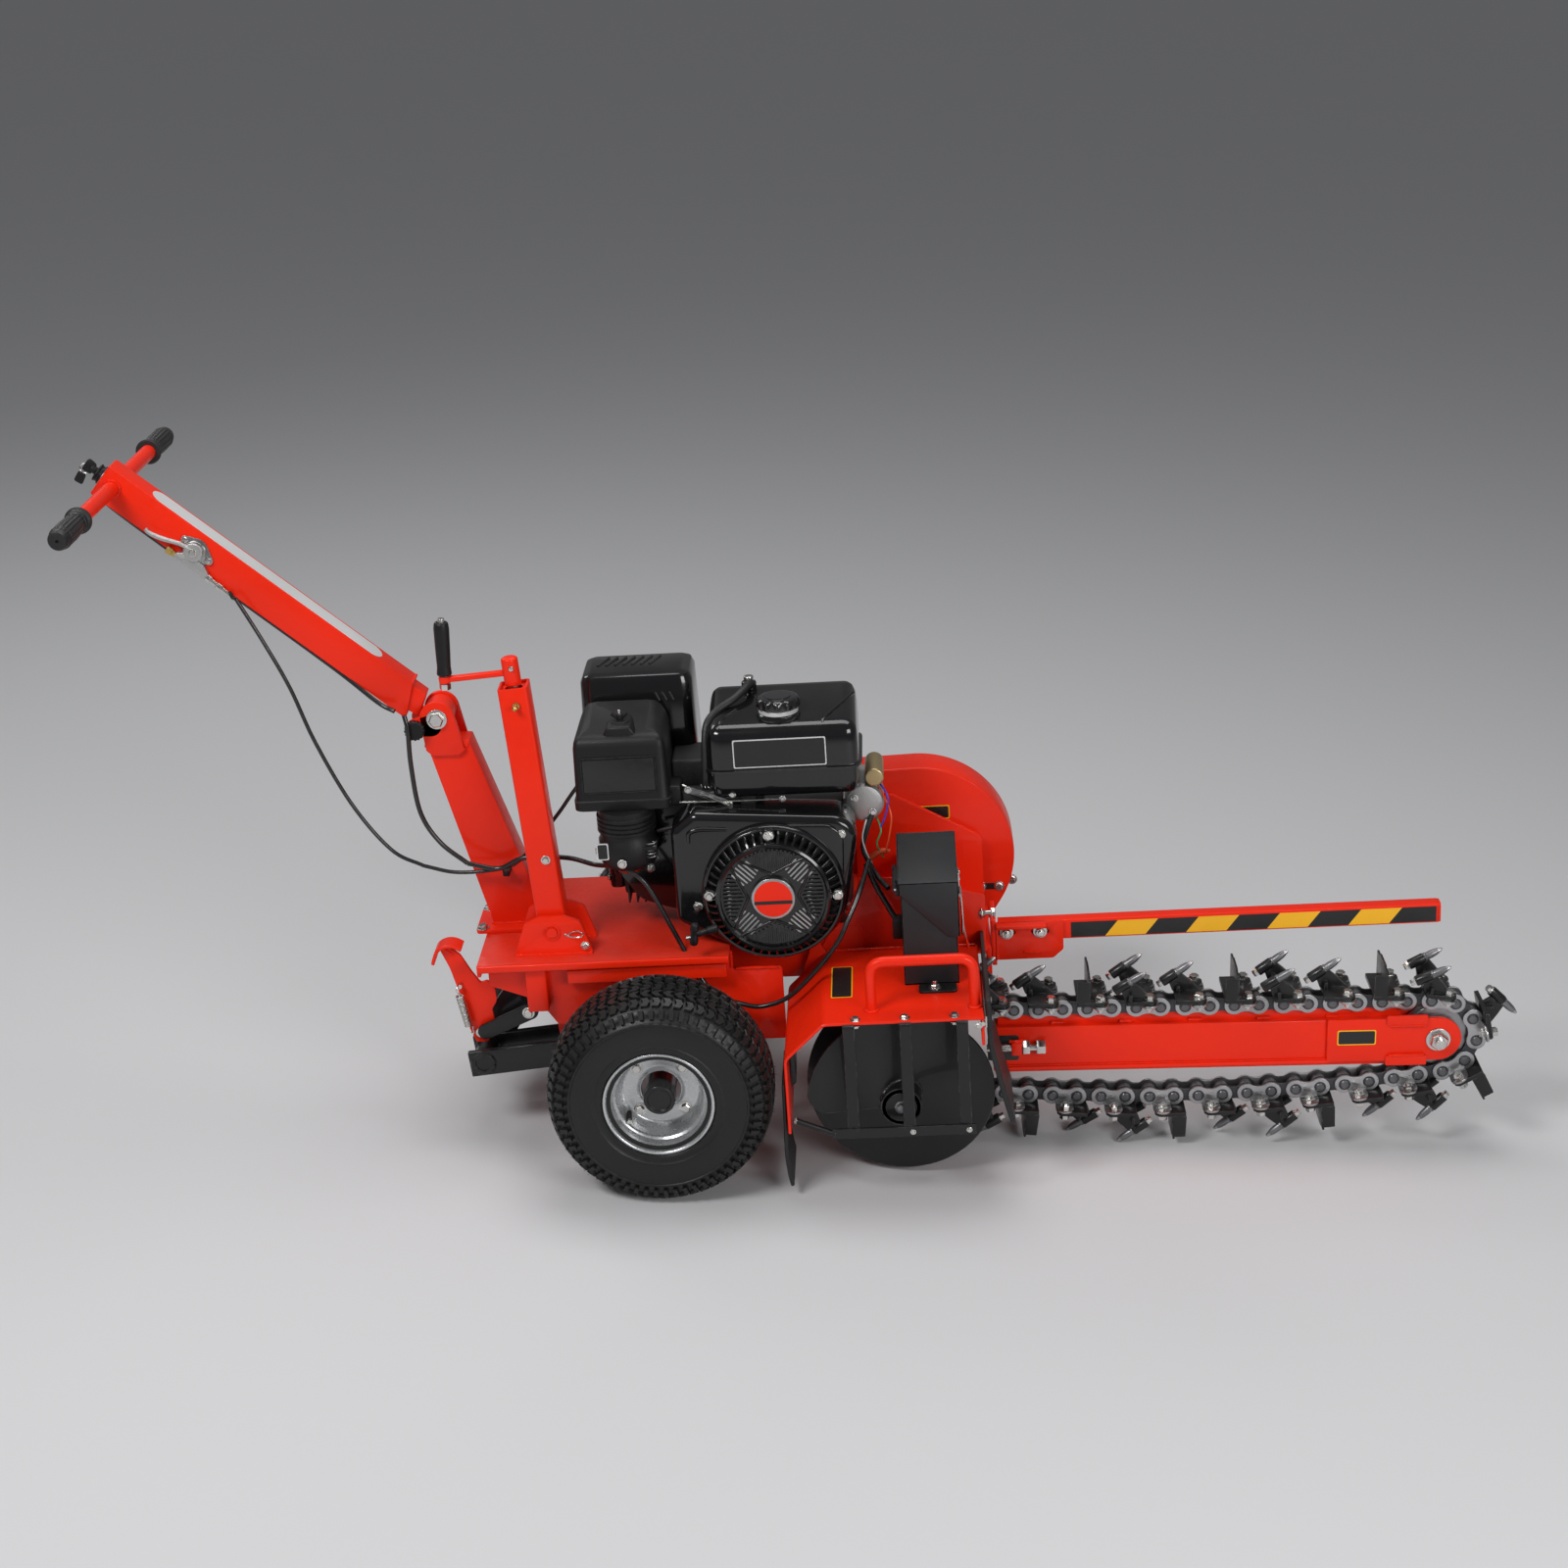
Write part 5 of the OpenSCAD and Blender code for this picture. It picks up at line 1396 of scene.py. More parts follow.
def hood():
    """Folded sheet over the chain and the auger, with its flanges, label and end brackets."""
    piece = Piece("auger_cover", "frame", "auger_hood")
    fold = soften([(211.5, 113), (211.5, 249), (277, 310.5), (540, 310.5)], 7, closed=False, steps=4)
    piece.add(ribbon(fold, 5, -362, -80, 0.9), "red_paint")
    piece.boxes("red_paint", ((278, -81, 290), (540, -75, 313), 1.2),
                ((535.5, -362, 262), (540.5, -172, 311), 1.2))
    gusset = soften([(236, 276), (280, 311), (262, 340), (258, 338)], 2)
    piece.add(slab(gusset, -82, -77, 0.8), "red_paint")
    for x in (330, 411, 492):
        piece.bolt((x, -352, 313), UP, 6.5)
        piece.bolt((x, -352, 305), (0, 0, -1), 6.5)
    blank_label(piece, (307, -205), 313, (36, 120), out=1, along="z")
    piece.weld([(280, -80, 315), (400, -79, 315), (536, -80, 315)], 2.4)
    piece.weld([(534, -170, 300), (534, -170, 270)], 2.2)
    foot = oblong(436, -264, 500, -232, 8)
    piece.add(slab(foot, 313, 317, 1, along="z"), "black_paint")
    piece.bolt((463, -250, 317), UP, 8, stud=6)
    for z in (236, 206, 178):
        piece.bolt((214, -236, z), (1, 0, 0), 5.5)
    strap = [(216, 244), (224, 236), (224, 176), (216, 168)]
    piece.add(slab(strap, -300, -226, 1), "black_paint")
    piece.add(tube([(538, -366, 303), (538, -352, 303)], 4, 12), "zinc")
    piece.bolt((531, -363, 300), NEAR, 5)
    piece.done()


def lift_handle():
    """Round-bar handle welded on the hood."""
    piece = Piece("hood_handle", "frame", "lift_handle")
    low, high = span("lift_handle")
    x0, x1, top = low.x + 9, high.x - 9, high.z - 9
    path = [(x0, top - 88)] + soften([(x0, top - 88), (x0, top), (x1, top), (x1, top - 88)], 26,
                                     closed=False, steps=8)[1:]
    hood_top, y = 312, -318
    path = [(x, y, max(z, hood_top)) for x, z in path]
    piece.add(tube(path, 9, 24), "red_paint")
    for x in (x0, x1):
        piece.weld([(x + 10 * a, y + 10 * b, hood_top + 2.5) for a, b in arc((0, 0), 1, 0, 350, 14)], 2.8)
    piece.done()


def cage():
    """Flat bars in front of the auger."""
    piece = Piece("auger_guard_bars", "frame", "auger_cage")
    for x in (318, 411, 504):
        path = [(-364, 309), (-358, 300), (-352, 240), (-352, 222), (-366, 128), (-368, 112)]
        left, right = [], []
        for i, p in enumerate(path):
            p = Vector(p)
            ahead = (Vector(path[min(i + 1, 5)]) - Vector(path[max(i - 1, 0)])).normalized()
            side = Vector((-ahead.y, ahead.x)) * 2.4
            left.append(tuple(p + side))
            right.append(tuple(p - side))
        piece.add(slab(left + right[::-1], x - 10, x + 10, 0.9, 1, along="x"), "black_paint")
        piece.weld([(x - 9, -371, 120), (x + 9, -371, 120)], 1.8, "black_paint")
    piece.add(block((283, -373, 106), (520, -368, 124), 1), "black_paint")
    piece.add(tube([(288, -370, 114), (222, -349, 131)], 5, 12), "black_paint")
    piece.bolt((224, -350, 131), (-1, 0.2, 0.2), 5)
    for x in (411, 504):
        piece.bolt((x + 5, -373, 114), NEAR, 3.6)
    piece.done()


def flaps():
    """Thick rubber sheets beside the auger."""
    piece = Piece("rubber_sheets", "frame", "rubber_flaps")
    left = [(205, 196), (204, 120), (203, 70), (206, 30), (210, 8)]
    piece.add(ribbon(flowing(left, 6), 6, -350, -215, 1.6), "soft_rubber")
    right = [(548, 336), (549, 300), (551, 250), (560, 205), (572, 150), (583, 106)]
    piece.add(ribbon(flowing(right, 6), 9, -345, -175, 2), "soft_rubber")
    piece.add(slab(oblong(-176, 300, -66, 336, 4), 545, 551, 1.5, along="x"), "soft_rubber")
    piece.add(block((541, -345, 286), (545.4, -175, 306), 0.8), "zinc")
    for y in (-330, -262, -190):
        piece.bolt((551.5, y, 296), (1, 0, 0), 5.5)
    piece.done()


# ---- Battery ----


def battery():
    """Box, folded lid with slanting skirts and toggle catch; the battery itself keeps its CAD shape."""
    box = Piece("battery_case", "frame", "battery_box")
    hinge_x, hinge_z = 404, 478
    low, high = (413, -228, 313.2), (504.5, -77, hinge_z)
    walls = [((low[0], low[1]), (high[0], low[1] + 2.4)), ((low[0], high[1] - 2.4), (high[0], high[1])),
             ((low[0], low[1]), (low[0] + 2.4, high[1])), ((high[0] - 2.4, low[1]), (high[0], high[1]))]
    for (x0, y0), (x1, y1) in walls:
        box.add(block((x0, y0, low[2]), (x1, y1, high[2]), 0.8), "dark_sheet")
    box.add(block((low[0], low[1], low[2]), (high[0], high[1], low[2] + 3.6), 0.8), "dark_sheet")
    for y in (-205, -125):
        box.add(pipe(2, 4.5, 0, 18, 24), "dark_sheet", facing((hinge_x, y, hinge_z), FAR))
        box.add(block((hinge_x, y, 466), (413.4, y + 18, 475), 1), "dark_sheet")
    box.done()

    lid = Piece("battery_lid_sheet", "lid", "battery_lid")
    near, far, roof_near, roof_far = -232, -73, 500, 526
    for y0, y1, roof in ((near, near + 3, roof_near), (far - 3, far, roof_far)):
        outline = [(409, 477.4), (409, roof), (509, roof), (509, 400), (490, 400), (413, 477.4)]
        lid.add(slab(outline, y0, y1, 0.9), "dark_sheet")
    back_foot, front_foot, thick = 477.4, 400, 3.4
    for foot_near, foot_far, x0, x1, edge in ((back_foot, back_foot, 409, 412.4, 0.9),
                                              (front_foot, front_foot, 506, 509, 0.9),
                                              (roof_near - thick, roof_far - thick, 409, 509, 1)):
        sheet = [(near, foot_near), (near, roof_near), (far, roof_far), (far, foot_far)]
        lid.add(slab(sheet, x0, x1, edge, along="x"), "dark_sheet")
    lid.add(turned(oblong(0, 0, 4.5, 58), 24, edge=0.8), "dark_sheet",
            facing((hinge_x, -185, hinge_z), FAR))
    lid.add(tube([(hinge_x, -205, hinge_z), (hinge_x, -107, hinge_z)], 1.9, 14), "zinc")
    lid.add(block((hinge_x, -185, 479), (410, -127, 488), 1), "dark_sheet")
    lid.add(block((509, -166, 462), (512, -139, 486), 0.8), "zinc")
    for z in (468, 480):
        lid.screw((511.6, -146, z), (1, 0, 0), 3)
    lid.done()

    catch = Piece("battery_catch", "catch", "lid_latch")
    at = pivot("catch_flip")
    catch.add(tube([(at.x, -170, at.z), (at.x, -135, at.z)], 2.8, 16), "zinc")
    bail = [(at.x + 1, -164, at.z), (at.x + 3, -164, 400), (at.x + 2, -160, 372), (at.x + 2, -145, 372),
            (at.x + 3, -141, 400), (at.x + 1, -141, at.z)]
    catch.add(tube(flowing(bail, 5), 1.8, 10), "zinc")
    lever = [(at.x - 2, 449), (at.x + 2, 440), (at.x + 2.5, 398), (at.x + 6, 372), (at.x + 9, 354)]
    catch.add(ribbon(lever, 2.2, -161, -144, 0.6), "zinc")
    catch.add(ribbon([(at.x + 7.5, 362), (at.x + 10, 350), (at.x + 12, 344)], 3, -162, -143, 0.8),
              "red_paint")
    catch.done()


# ---- Boom ----


def boom():
    """Box bar with its rails, flange, nose plates, welds, and a slot drawn as a black sheet of painted shade.
    """
    piece = Piece("boom_bar", "boom", "boom", place=BOOM)
    end = BOOM_RUN - 58
    piece.add(slab(oblong(-20, -37, 20, 37, 3), 162, end, 1, along="x"), "red_paint")
    for z0, z1 in mirrored(36, 55):
        piece.add(block((170, -8, z0), (end - 4, 8, z1), 1.2), "red_paint")
    piece.add(block((162, -26, -44), (740, 26, -37), 1.5), "red_paint")
    for x in range(262, int(end) - 60, 118):
        piece.weld([(x, -10, 40), (x + 22, -10, 40)], 3)
        piece.weld([(x, 10, 40), (x + 22, 10, 40)], 3)
    piece.weld([(170, -21, -36), (738, -21, -36)], 1.2)
    for side in (-1, 1):
        y0, y1 = sorted((side * 20.2, side * 27))
        plate = [(735, -40), *arc((BOOM_RUN, 0), 40, -90, 90, 24), (735, 40)]
        piece.add(slab(plate, y0, y1, 1.3), "red_paint")
        for z in (-38, 38):
            pad = oblong(835, z - 9, 905, z + 9, 3)
            y0, y1 = sorted((side * 26, side * 31))
            piece.add(slab(pad, y0, y1, 1.2), "red_paint")
            piece.weld([(840, side * 30, z - math.copysign(10, z)),
                        (900, side * 30, z - math.copysign(10, z))], 2.6)
        piece.weld([(736, side * 24, -36), (736, side * 24, 36)], 1.6)
    # The slot is a black sheet on the bar's side: painted shade standing for the dark inside of the opening.
    slot = oblong(152, -26, 206, 22, 6)
    piece.add(slab(slot, -21, -20, 0.4), "label_black")
    piece.add(block((192, -38, -10), (212, -20, 14), 3), "red_paint")
    piece.weld([(190, -30, 15), (200, -34, 16), (212, -28, 15)], 3)
    rod_y, rod_z = -29, 2
    piece.add(tube([(150, rod_y, rod_z), (196, rod_y, rod_z)], 7, 20), "zinc")
    for x, length in ((212, 12), (236, 15)):
        nut = [(0, 0), (12.5, 0), (13, 1), (13, length - 1), (12.5, length), (0, length)]
        piece.add(turned(nut, 6), "zinc", Matrix.Translation((x, rod_y, rod_z))
                  @ Matrix.Rotation(math.pi / 2, 4, "Y"))
    piece.add(tube([(210, rod_y, rod_z), (250, rod_y, rod_z)], 6.6, 20), "zinc")
    blank_label(piece, (785, 6), -27, (66, 28))
    piece.done()


def nose():
    """Roller at the end of the boom, with its bolt and nut."""
    piece = Piece("nose_wheel", "nose", "nose_roller", place=BOOM @ Matrix.Translation((BOOM_RUN, 0, 0)))
    wheel = [(13, -19), (26, -19), (30, -12), (52, -10), (55, -9), (55, 9), (52, 10), (30, 12), (26, 19),
             (13, 19)]
    turn = Matrix.Rotation(math.pi / 2, 4, "X")
    piece.add(turned(soften(wheel, 1) + [(13, -19)], 64, capped=False), "bare_steel", turn)
    piece.add(tube([(0, -30, 0), (0, 34, 0)], 12.4, 32), "bare_steel")
    piece.add(drum(21, 3, 0.8, 40), "zinc", facing((0, -27.4, 0), NEAR))
    piece.add(turned([(0, 0), (15, 0), (16, 1.5), (16, 10), (14, 12.5), (0, 12.5)], 6), "zinc",
              facing((0, -30, 0), NEAR, 0.35))
    piece.add(drum(8.5, 8, 1.2, 24), "zinc", facing((0, -41, 0), NEAR))
    piece.bolt((0, 28, 0), FAR, 16)
    piece.done()


# ---- Chain ----

TEETH = 10
PITCH = BOOM_RUN / 22
PIN_CIRCLE = PITCH / 2 / math.sin(math.pi / TEETH)
LINKS = 2 * 22 + TEETH
PHASE = -0.293  # place of pin 0, in links past the start of the top run
TAB_BOLT = 38  # from the chain's middle to the bolts that hold the cutters
SAG = 36  # drop of the lower run at its middle
SAG_RADIUS = ((BOOM_RUN / 2) ** 2 + SAG**2) / 2 / SAG
SAG_HALF = math.asin(BOOM_RUN / 2 / SAG_RADIUS)


def round_point(x, degrees):
    """A point on a pin circle about a place along the boom."""
    turn = math.radians(degrees)
    return Vector((x + PIN_CIRCLE * math.cos(turn), PIN_CIRCLE * math.sin(turn)))


CHAIN_STRETCH = ("frame", "boom", BOOM @ Vector((60, 0, 0)), BOOM @ Vector((BOOM_RUN - 60, 0, 0)))


def pin_at(k):
    """Place of pin k along and across the boom: top run, nose, hanging lower run, sprocket."""
    run, half, step = BOOM_RUN / PITCH, TEETH / 2, k + PHASE
    if step < 0:
        return round_point(0, 90 - step * 360 / TEETH)
    if step < run:
        return Vector((step * PITCH, PIN_CIRCLE))
    if step < run + half:
        return round_point(BOOM_RUN, 90 - (step - run) * 360 / TEETH)
    if step < 2 * run + half:
        turn = SAG_HALF * (1 - 2 * (step - run - half) / run)
        drop = SAG_RADIUS - PIN_CIRCLE - SAG - SAG_RADIUS * math.cos(turn)
        return Vector((BOOM_RUN / 2 + SAG_RADIUS * math.sin(turn), drop))
    return round_point(0, 270 - (step - 2 * run - half) * 360 / TEETH)


def link_place(k):
    """Frame of link k: +X along the link, +Z away from the boom."""
    a, b = pin_at(k), pin_at(k + 1)
    mid, ahead = (a + b) / 2, b - a
    return Matrix.Translation((mid.x, 0, mid.y)) @ Matrix.Rotation(-math.atan2(ahead.y, ahead.x), 4, "Y")


def link_outline():
    """Side plate of a link: two round ends and a waist."""
    half = PITCH / 2
    return (arc((half, 0), 17, -128, 128, 18) + [(4, 11.6), (-4, 11.6)] + arc((-half, 0), 17, 52, 308, 18)
            + [(-4, -11.6), (4, -11.6)])


def chain():
    """Roller chain: inner links with rollers, outer links with riveted pins and bent tabs."""
    half = PITCH / 2
    across = Matrix.Rotation(math.pi / 2, 4, "X")
    inner = Piece("chain_roller_links", "frame", "inner_links", place=BOOM)
    for k in range(1, LINKS, 2):
        place = link_place(k)
        for side, (y0, y1) in zip((-1, 1), mirrored(10, 14)):
            inner.add(slab(link_outline(), y0, y1, 0.9), "chain_dark", place)
            roller = turned(oblong(8.6, -9.8, 12.5, 9.8, 0.8), 28, capped=False)
            roller_place = place @ Matrix.Translation((side * half, 0, 0)) @ across
            inner.add(roller, "chain_steel", roller_place)
    inner.done(blend=CHAIN_STRETCH)
    outer = Piece("chain_pin_links", "frame", "outer_links", place=BOOM)
    for k in range(0, LINKS, 2):
        place = link_place(k)
        for side, (y0, y1) in zip((-1, 1), mirrored(14.4, 18.6)):
            outer.add(slab(link_outline(), y0, y1, 1.1), "chain_steel", place)
            pin = [(0, -21.4), (6.4, -21.4), (7.8, -20.2), (8, -18), (8, 18), (7.8, 20.2), (6.4, 21.4),
                   (0, 21.4)]
            pin_place = place @ Matrix.Translation((side * half, 0, 0)) @ across
            outer.add(turned(pin, 24), "chain_pin", pin_place)
            for level in (-19.1, 18.2):
                outer.add(turned(oblong(7.8, level, 10.4, level + 0.9), 24,
                                 capped=False), "chain_dark", pin_place)
            rise = [(side * 16.5, 6), (side * 16.5, 13), (side * 19, 15.4), (side * 30, 15.4)]
            half_tab = 2
            edge_in = [(y - side * half_tab * (z < 15), z - half_tab * (z > 15)) for y, z in rise]
            edge_out = [(y + side * half_tab * (z < 15), z + half_tab * (z > 15)) for y, z in rise]
            outer.add(slab(edge_in + edge_out[::-1], -15, 15, 0.7, 1, along="x"), "bright_steel", place)
            tab = ([(-15.5, side * 24)] + [(a, b * side) for a, b in arc((0, TAB_BOLT), 15.5, 180, 0, 16)]
                   + [(15.5, side * 24)])
            outer.add(slab(tab, 13.4, 17.4, 0.8, along="z"), "bright_steel", place)
            stud = [(0, 0), (4.6, 0), (4.6, 4), (8.4, 4.2), (9, 5), (9, 9.5), (8.4, 10.4), (0, 10.4)]
            spin = Matrix.Rotation(dice.uniform(0, 1), 4, "Z")
            outer.add(turned(stud, 6), "zinc", place @ Matrix.Translation((0, side * TAB_BOLT, 3)) @ spin)
    outer.done(blend=CHAIN_STRETCH)


def cutter_bolts(piece, place):
    """Two bolt heads on a cutter's base."""
    for side in (-1, 1):
        head = [(0, 0), (9.6, 0), (9.6, 1.4), (8, 1.6), (8.4, 3), (8.4, 8), (6.8, 9.6), (0, 9.6)]
        spin = Matrix.Rotation(dice.uniform(0, 1), 4, "Z")
        spot = place @ Matrix.Translation((0, side * TAB_BOLT, 25)) @ spin
        piece.add(turned(head, 6), "zinc", spot)


def pick(piece, place, y, lean):
    """Conical pick in its holder on a gusset, with the bright retaining bolt behind."""
    gusset = [(-42, 24), (6, 24), (-14, 44), (-30, 58), (-50, 46)]
    piece.add(slab(soften(gusset, 3), y - 4.5, y + 4.5, 1), "black_paint", place)
    piece.add(block((-36, y - 17, 24), (-30, y + 17, 38), 1.5), "black_paint", place)
    hold = (place @ Matrix.Translation((-47, y, 48.4)) @ Matrix.Rotation(math.radians(lean), 4, "X")
            @ Matrix.Rotation(math.radians(55), 4, "Y"))
    holder = [(0, -15), (8.4, -15), (9, -13), (9, 12), (8.4, 14), (0, 14)]
    piece.add(turned(holder, 28), "black_paint", hold)
    tip = [(0, 14), (6.4, 14), (7.8, 15), (7.8, 17.5), (6.6, 19), (6.8, 27), (6.1, 35), (4.7, 41), (0, 41)]
    piece.add(turned(tip, 24), "pick_steel", hold)
    piece.add(turned([(0, 40.5), (4.3, 40.8), (3.8, 44), (2, 48), (0, 49)], 16), "bright_steel", hold)
    bolt = [(0, -24), (5.6, -24), (6.4, -23), (6.4, -17), (8, -16.6), (8, -15), (0, -15)]
    piece.add(turned(bolt, 6), "zinc", hold)


def blade(piece, place):
    """Transverse plate with a bent return and welds at its foot."""
    piece.add(block((-21, -47, 24), (-17, 47, 69), 1), "black_paint", place)
    spike = [(-30, 66), (30, 66), (22, 73), (-22, 73)]
    piece.add(slab(spike, -21, -17, 0.8, along="x"), "black_paint", place)
    wing = soften([(-41, 24), (-18, 24), (-18, 64), (-39, 64)], 2)
    piece.add(slab(wing, -48, -44, 0.9), "black_paint", place)
    for y in range(-40, 41, 16):
        spot = place @ Matrix.Translation((-15.5, y + dice.uniform(-2, 2), 26))
        piece.add(turned([(0, -2), (3, -1), (3.4, 0), (2.4, 2), (0, 2.6)], 8), "black_paint", spot)


def cutters():
    """A cutter on each outer link: blade, then two picks side by side, then one."""
    piece = Piece("chain_cutters", "frame", "cutters", place=BOOM)
    for k in range(0, LINKS, 2):
        place = link_place(k)
        base = [(-40, -48), (6, -48), (13, -40), (13, -28), (7, -16), (7, 16), (13, 28), (13, 40), (6, 48),
                (-40, 48)]
        piece.add(slab(soften(base, 2, steps=2), 17.4, 25, 1, along="z"), "black_paint", place)
        cutter_bolts(piece, place)
        if k % 3 == 2:
            blade(piece, place)
        elif k % 3 == 0:
            pick(piece, place, 0, 0)
        else:
            pick(piece, place, -34, 8)
            pick(piece, place, 34, -8)
    piece.done(blend=CHAIN_STRETCH)


def head_shaft():
    """Sprocket and shaft under the hood."""
    piece = Piece("sprocket_shaft", "head", "head_shaft")
    low, high = span("head_shaft")
    piece.add(tube([(HEAD.x, low.y, HEAD.z), (HEAD.x, high.y, HEAD.z)], 24.9, 40), "bare_steel")
    outline = []
    first = math.degrees(math.atan2(pin_at(0).y, pin_at(0).x))
    for i in range(TEETH):
        centre = 360 * (i + 0.5) / TEETH + first - 360 / TEETH / 2
        for turn, radius in ((-14, 55.2), (-9, 60), (-4, 71), (4, 71), (9, 60), (14, 55.2)):
            x, _, z = round_at(HEAD, radius, centre + 18 + turn, 0)
            outline.append((x, z))
    piece.add(slab(outline, HEAD.y - 8, HEAD.y + 8, 0.8), "bare_steel")
    piece.add(drum(60, 6, 1, 64), "bare_steel", facing((HEAD.x, high.y - 14, HEAD.z), FAR))
    piece.done()


# ---- Guard bar ----


def guard():
    """Slotted bracket and the striped bar over the chain."""
    bracket = Piece("guard_mount", "frame", "guard_bracket")
    bracket.add(slab(oblong(-48, 258, 40, 345, 4), 566, 574, 1.2, along="x"), "red_paint")
    outline = soften([(574, 268), (672, 268), (690, 284), (690, 338), (574, 338)], 3)
    bolt_places, bolt_z = (592, 650), 319.5
    slots = [arc((x + 10, bolt_z), 5.6, -90, 90, 8) + arc((x - 10, bolt_z), 5.6, 90, 270, 8)
             for x in bolt_places]
    bracket.add(slab(outline, -46, -40, 1, holes=slots), "red_paint")
    bracket.add(block((574, -64, 332), (660, -42, 338), 1), "red_paint")
    bracket.weld([(575, -48, 270), (575, -48, 330)], 2.6)
    bracket.weld([(622, -47, 282), (650, -47, 280)], 2.6)
    for x in bolt_places:
        bracket.bolt((x, -46, bolt_z), NEAR, 9, stud=5)
    bracket.done()

    bar = Piece("guard_striped_bar", "guard", "guard_bar")
    low, high = span("guard_bar")
    outer = oblong(low.y, 300, high.y, 336)
    inner = oblong(low.y + 4, 304, high.y - 4, 332)
    bar.add(slab(soften(outer, 3), low.x, high.x - 4, 0.8, holes=[soften(inner, 1.5)], along="x"),
            "red_paint")
    cap = soften(outer, 5)
    bar.add(slab(cap, high.x - 6, high.x, 2.5, 3, along="x"), "red_paint")
    start, count, lean = 704, 9, 22
    width = (high.x - 8 - start) / count
    for i in range(count):
        left, right = start + i * width, start + (i + 1) * width
        left_lean = lean / 2 if i > 0 else 0
        right_lean = lean / 2 if i < count - 1 else 0
        shape = [(left - left_lean, 303), (right - right_lean, 303), (right + right_lean, 331),
                 (left + left_lean, 331)]
        bar.add(slab(shape, low.y - 0.5, low.y + 0.5, 0), "amber" if i % 2 else "label_black")
    bar.done()


def fasteners():
    """Fold pin and its heads, latch pin and loose clips."""
    piece = Piece("pins_and_bolts", "frame", "fasteners")
    piece.add(tube([(FOLD.x, -34, FOLD.z), (FOLD.x, 34, FOLD.z)], 8, 24), "zinc")
    piece.add(drum(17, 2.4, 0.6, 32), "zinc", facing((FOLD.x, -33.2, FOLD.z), NEAR))
    for side in (-1, 1):
        piece.bolt((FOLD.x, side * 33.4, FOLD.z), (0, side, 0), 13)
    x, z = LATCH_PIN
    piece.add(tube([(x, -124, z), (x, -104, z)], 4.9, 18), "zinc")
    piece.bolt((x, -119, z), NEAR, 7)
    piece.add(tube([(546, -62, 366), (572, -62, 366)], 4.2, 16), "zinc")
    for x in (549, 566):
        piece.bolt((x, -62, 366), (1, 0, 0), 8)
    clip = [(-160, -150, 396), (-150, -151, 402), (-138, -151, 404), (-130, -150, 398), (-138, -149, 392),
            (-152, -149, 394), (-162, -149, 400)]
    piece.add(tube(flowing(clip, 6), 1.4, 8), "zinc")
    piece.bolt((-128, -149, 376), NEAR, 6)
    piece.done()


# ---- Cables ----


def cables():
    """Throttle cable and wiring that run from the handle to the engine and the battery."""
    free = [(-671, -45, 990), (-634, -48, 913), (-600, -47, 830), (-569, -46, 729), (-519, -46, 612),
            (-461, -47, 527), (-408, -48, 495)]
    bend = Piece("throttle_cable", "frame", "cables")
    bend.add(tube(flowing(free, 14), 3.4, 12), "cable_black")
    bend.done(blend=("frame", "handle", (-408, -48, 495), (-650, -46, 940)))

    fixed = Piece("engine_cables", "frame")
    lower = [(-408, -48, 495), (-351, -50, 481), (-277, -52, 485), (-234, -60, 507), (-170, -64, 580),
             (-139, -62, 620), (-118, -60, 646)]
    fixed.add(tube(flowing(lower, 10), 3.4, 12), "cable_black")
    harness = [(-330, -58, 500), (-277, -58, 488), (-230, -66, 509), (-156, -70, 507), (-106, -92, 501),
               (-60, -140, 515), (-28, -150, 500), (-7, -152, 471), (22, -154, 406), (58, -160, 327),
               (90, -172, 285), (140, -186, 270), (173, -190, 268), (217, -196, 287), (265, -198, 334),
               (302, -196, 380), (320, -188, 413), (345, -160, 460), (362, -120, 500)]
    fixed.add(tube(flowing(harness, 10), 4.2, 14), "cable_black")
    fixed.add(turned([(4.4, 0), (7, 1), (7.6, 3), (7.6, 9), (7, 11), (4.4, 12)], 20, capped=False),
              "cable_black", facing((-268, -56, 487), (1, 0, 0)))
    fixed.add(block((-274, -44, 466), (-262, -25, 480), 2), "black_plastic")
    ground = [(356, -90, 480), (372, -100, 440), (392, -104, 400), (404, -110, 380), (414, -116, 372)]
    fixed.add(tube(flowing(ground, 8), 5, 12), "cable_black")
    fixed.add(block((396, -128, 352), (412.6, -98, 388), 3), "black_plastic")
    fixed.done()

    loom = Piece("handle_loom", "frame")
    path = [(-330, -58, 500), (-374, -56, 541), (-402, -55, 597), (-409, -54, 682), (-408, -52, 745),
            (-412, -48, 772)]
    loom.add(tube(flowing(path, 12), 4.2, 12), "cable_black")
    loom.done(blend=("frame", "handle", (-345, -57, 515), (-410, -48, 765)))

    tied = Piece("handle_wiring", "handle")
    up = [COLUMN @ Vector(p) for p in ((-2, 46, -22), (30, 34, -31), (120, 20, -32), (300, 16, -32),
                                       (470, 16, -32), (560, 12, -32), (606, 6, -31))]
    tied.add(tube(flowing(up, 8), 4, 12), "cable_black")
    sheath = [(-671, -45, 990), (-679, -34, 989)]
    tied.add(tube([COLUMN @ Vector((336, 31, -25)), *[Vector(p) for p in reversed(sheath)]], 3.3, 12),
             "cable_black")
    tied.done()


auger()
hood()
lift_handle()
cage()
flaps()
battery()
boom()
nose()
chain()
cutters()
head_shaft()
guard()
fasteners()
cables()

# ---- Hidden running parts keep their CAD shape and get a paint from the table, with its rubbed and painted-highlight edges where the paint has them ----

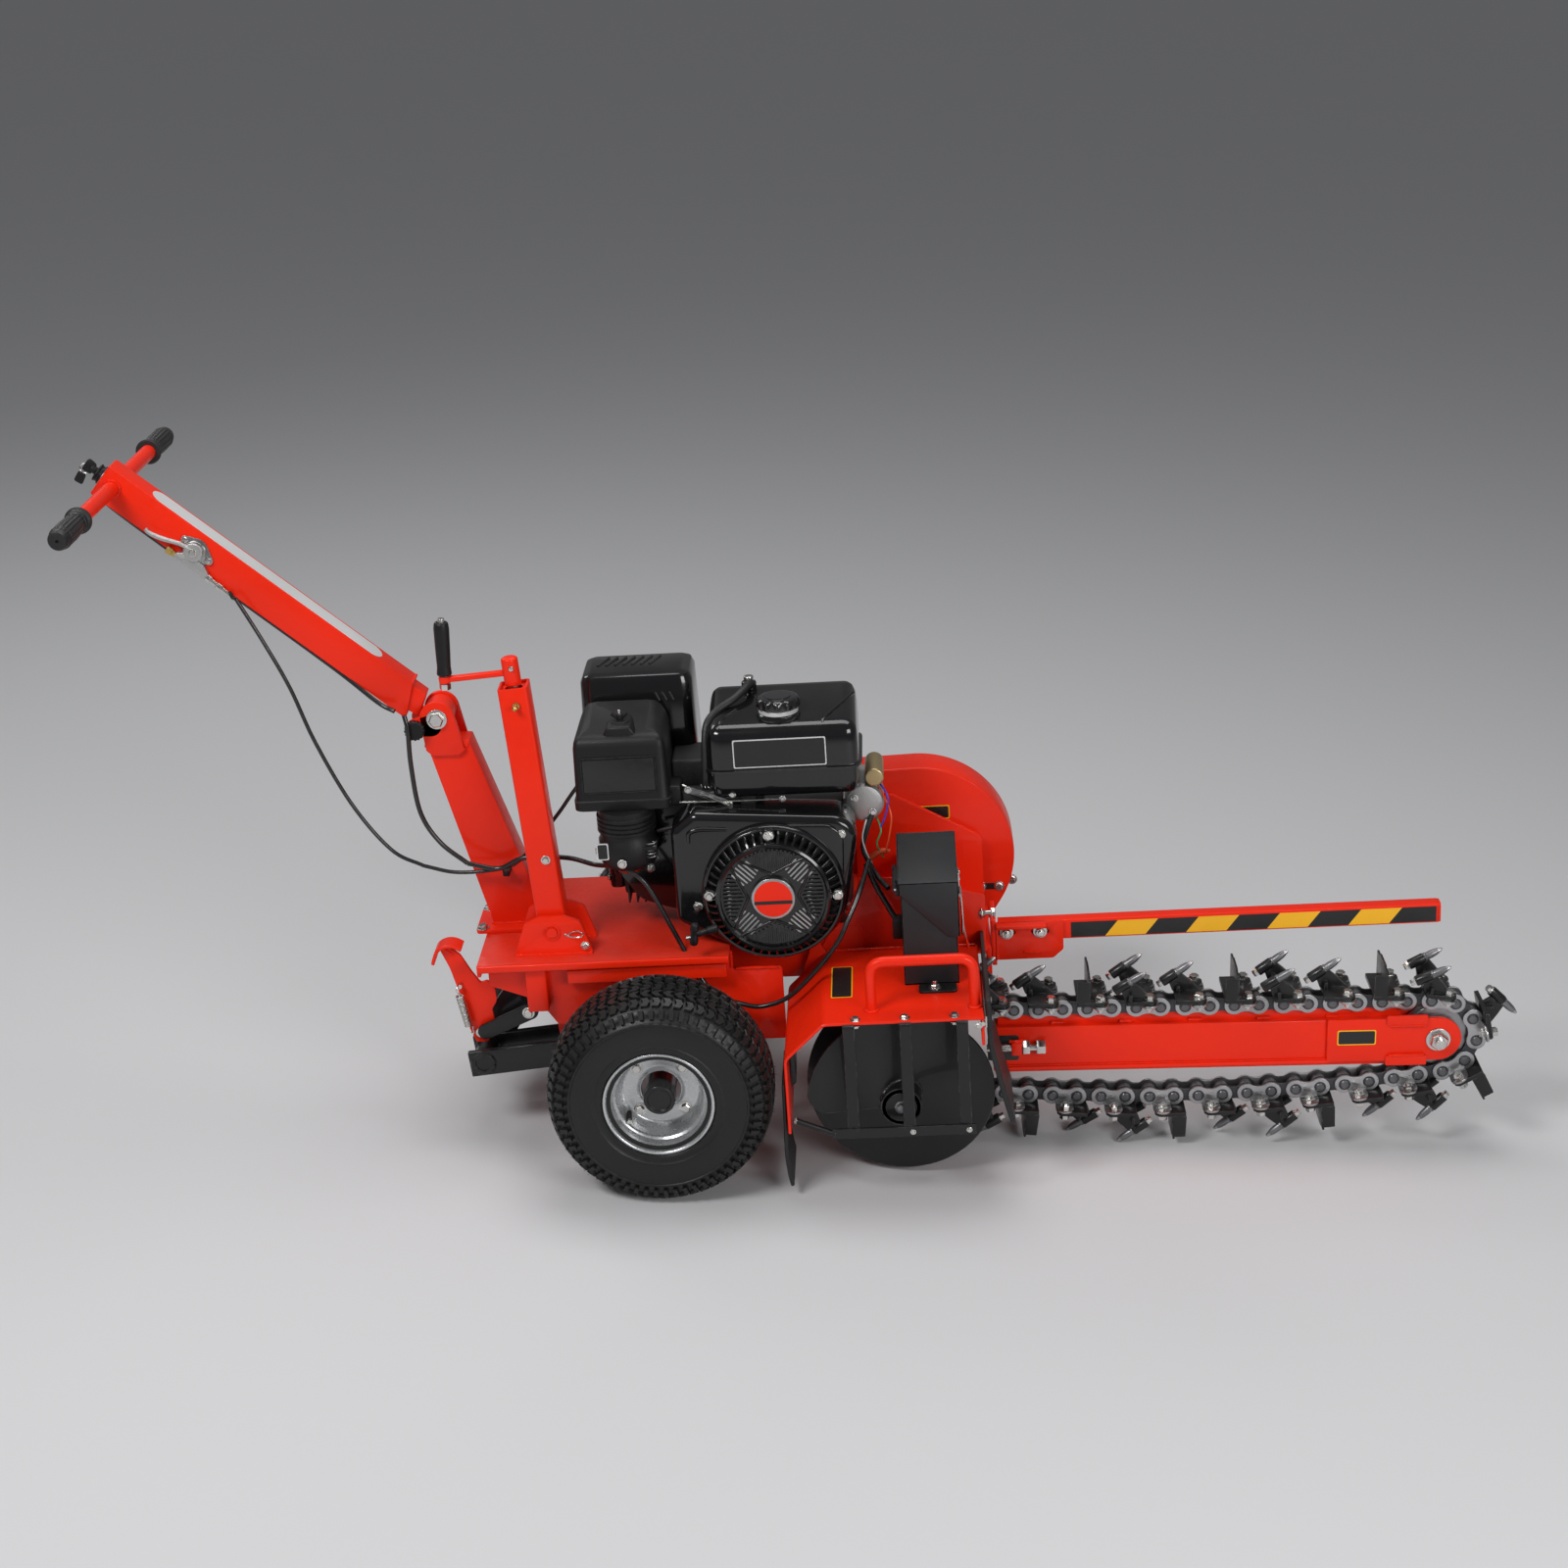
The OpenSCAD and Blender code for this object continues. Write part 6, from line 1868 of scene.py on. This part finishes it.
for node in ("engine_shaft", "jackshaft", "drive_belt", "final_chain", "battery"):
    slot_name = {"drive_belt": "soft_rubber", "battery": "black_plastic"}.get(node, "bare_steel")
    made = frame["nodes"][node]
    made.data.materials.clear()
    made.data.materials.append(PAINTS[slot_name])

# ---- Stage, light and camera ----


def stage_and_light():
    """Plain pale floor, soft studio light and the camera."""
    floor = Graph("studio_floor")
    floor.feed(floor.shader.inputs["Base Color"], (0.62, 0.62, 0.63, 1))
    floor.feed(floor.shader.inputs["Roughness"], 0.75)
    ground = bpy.data.meshes.new("floor")
    shape = bmesh.new()
    corners = [shape.verts.new((x, y, 0)) for x, y in ((-30, -30), (30, -30), (30, 30), (-30, 30))]
    shape.faces.new(corners)
    shape.to_mesh(ground)
    shape.free()
    ground.materials.append(floor.material)
    plane = bpy.data.objects.new("floor", ground)
    scene.collection.objects.link(plane)
    world = bpy.data.worlds.new("studio")
    world.use_nodes = True
    world.node_tree.nodes["Background"].inputs["Color"].default_value = (0.8, 0.81, 0.83, 1)
    world.node_tree.nodes["Background"].inputs["Strength"].default_value = 0.2
    scene.world = world
    lamps = [
        ("key", (-2.2, -2.6, 3.6), (0, 0, 0.4), 1.6, 100),
        ("fill", (2.4, -3.4, 2.0), (0.2, 0, 0.4), 2.0, 70),
        ("top", (0.2, 0.6, 4.2), (0, 0, 0), 3.0, 60),
        ("back", (-2.6, 2.6, 3.2), (0, 0, 0.5), 1.6, 20),
    ]
    for name, spot, target, size, power in lamps:
        lamp = bpy.data.lights.new(name, "AREA")
        lamp.shape = "RECTANGLE"
        lamp.size = size
        lamp.size_y = size * 0.6
        lamp.energy = power
        made = bpy.data.objects.new(name, lamp)
        made.location = spot
        made.rotation_euler = (Vector(spot) - Vector(target)).to_track_quat("Z", "Y").to_euler()
        scene.collection.objects.link(made)
    camera = bpy.data.cameras.new("camera")
    camera.sensor_width = 36
    camera.lens = 61.86
    eye = Vector((0.0784, -4.3253, 2.2764))
    look = Vector((-0.0461, 0, 0.6097))
    made = bpy.data.objects.new("camera", camera)
    made.location = eye
    made.rotation_euler = (eye - look).to_track_quat("Z", "Y").to_euler()
    scene.collection.objects.link(made)
    scene.camera = made
    scene.view_settings.view_transform = "Standard"


stage_and_light()
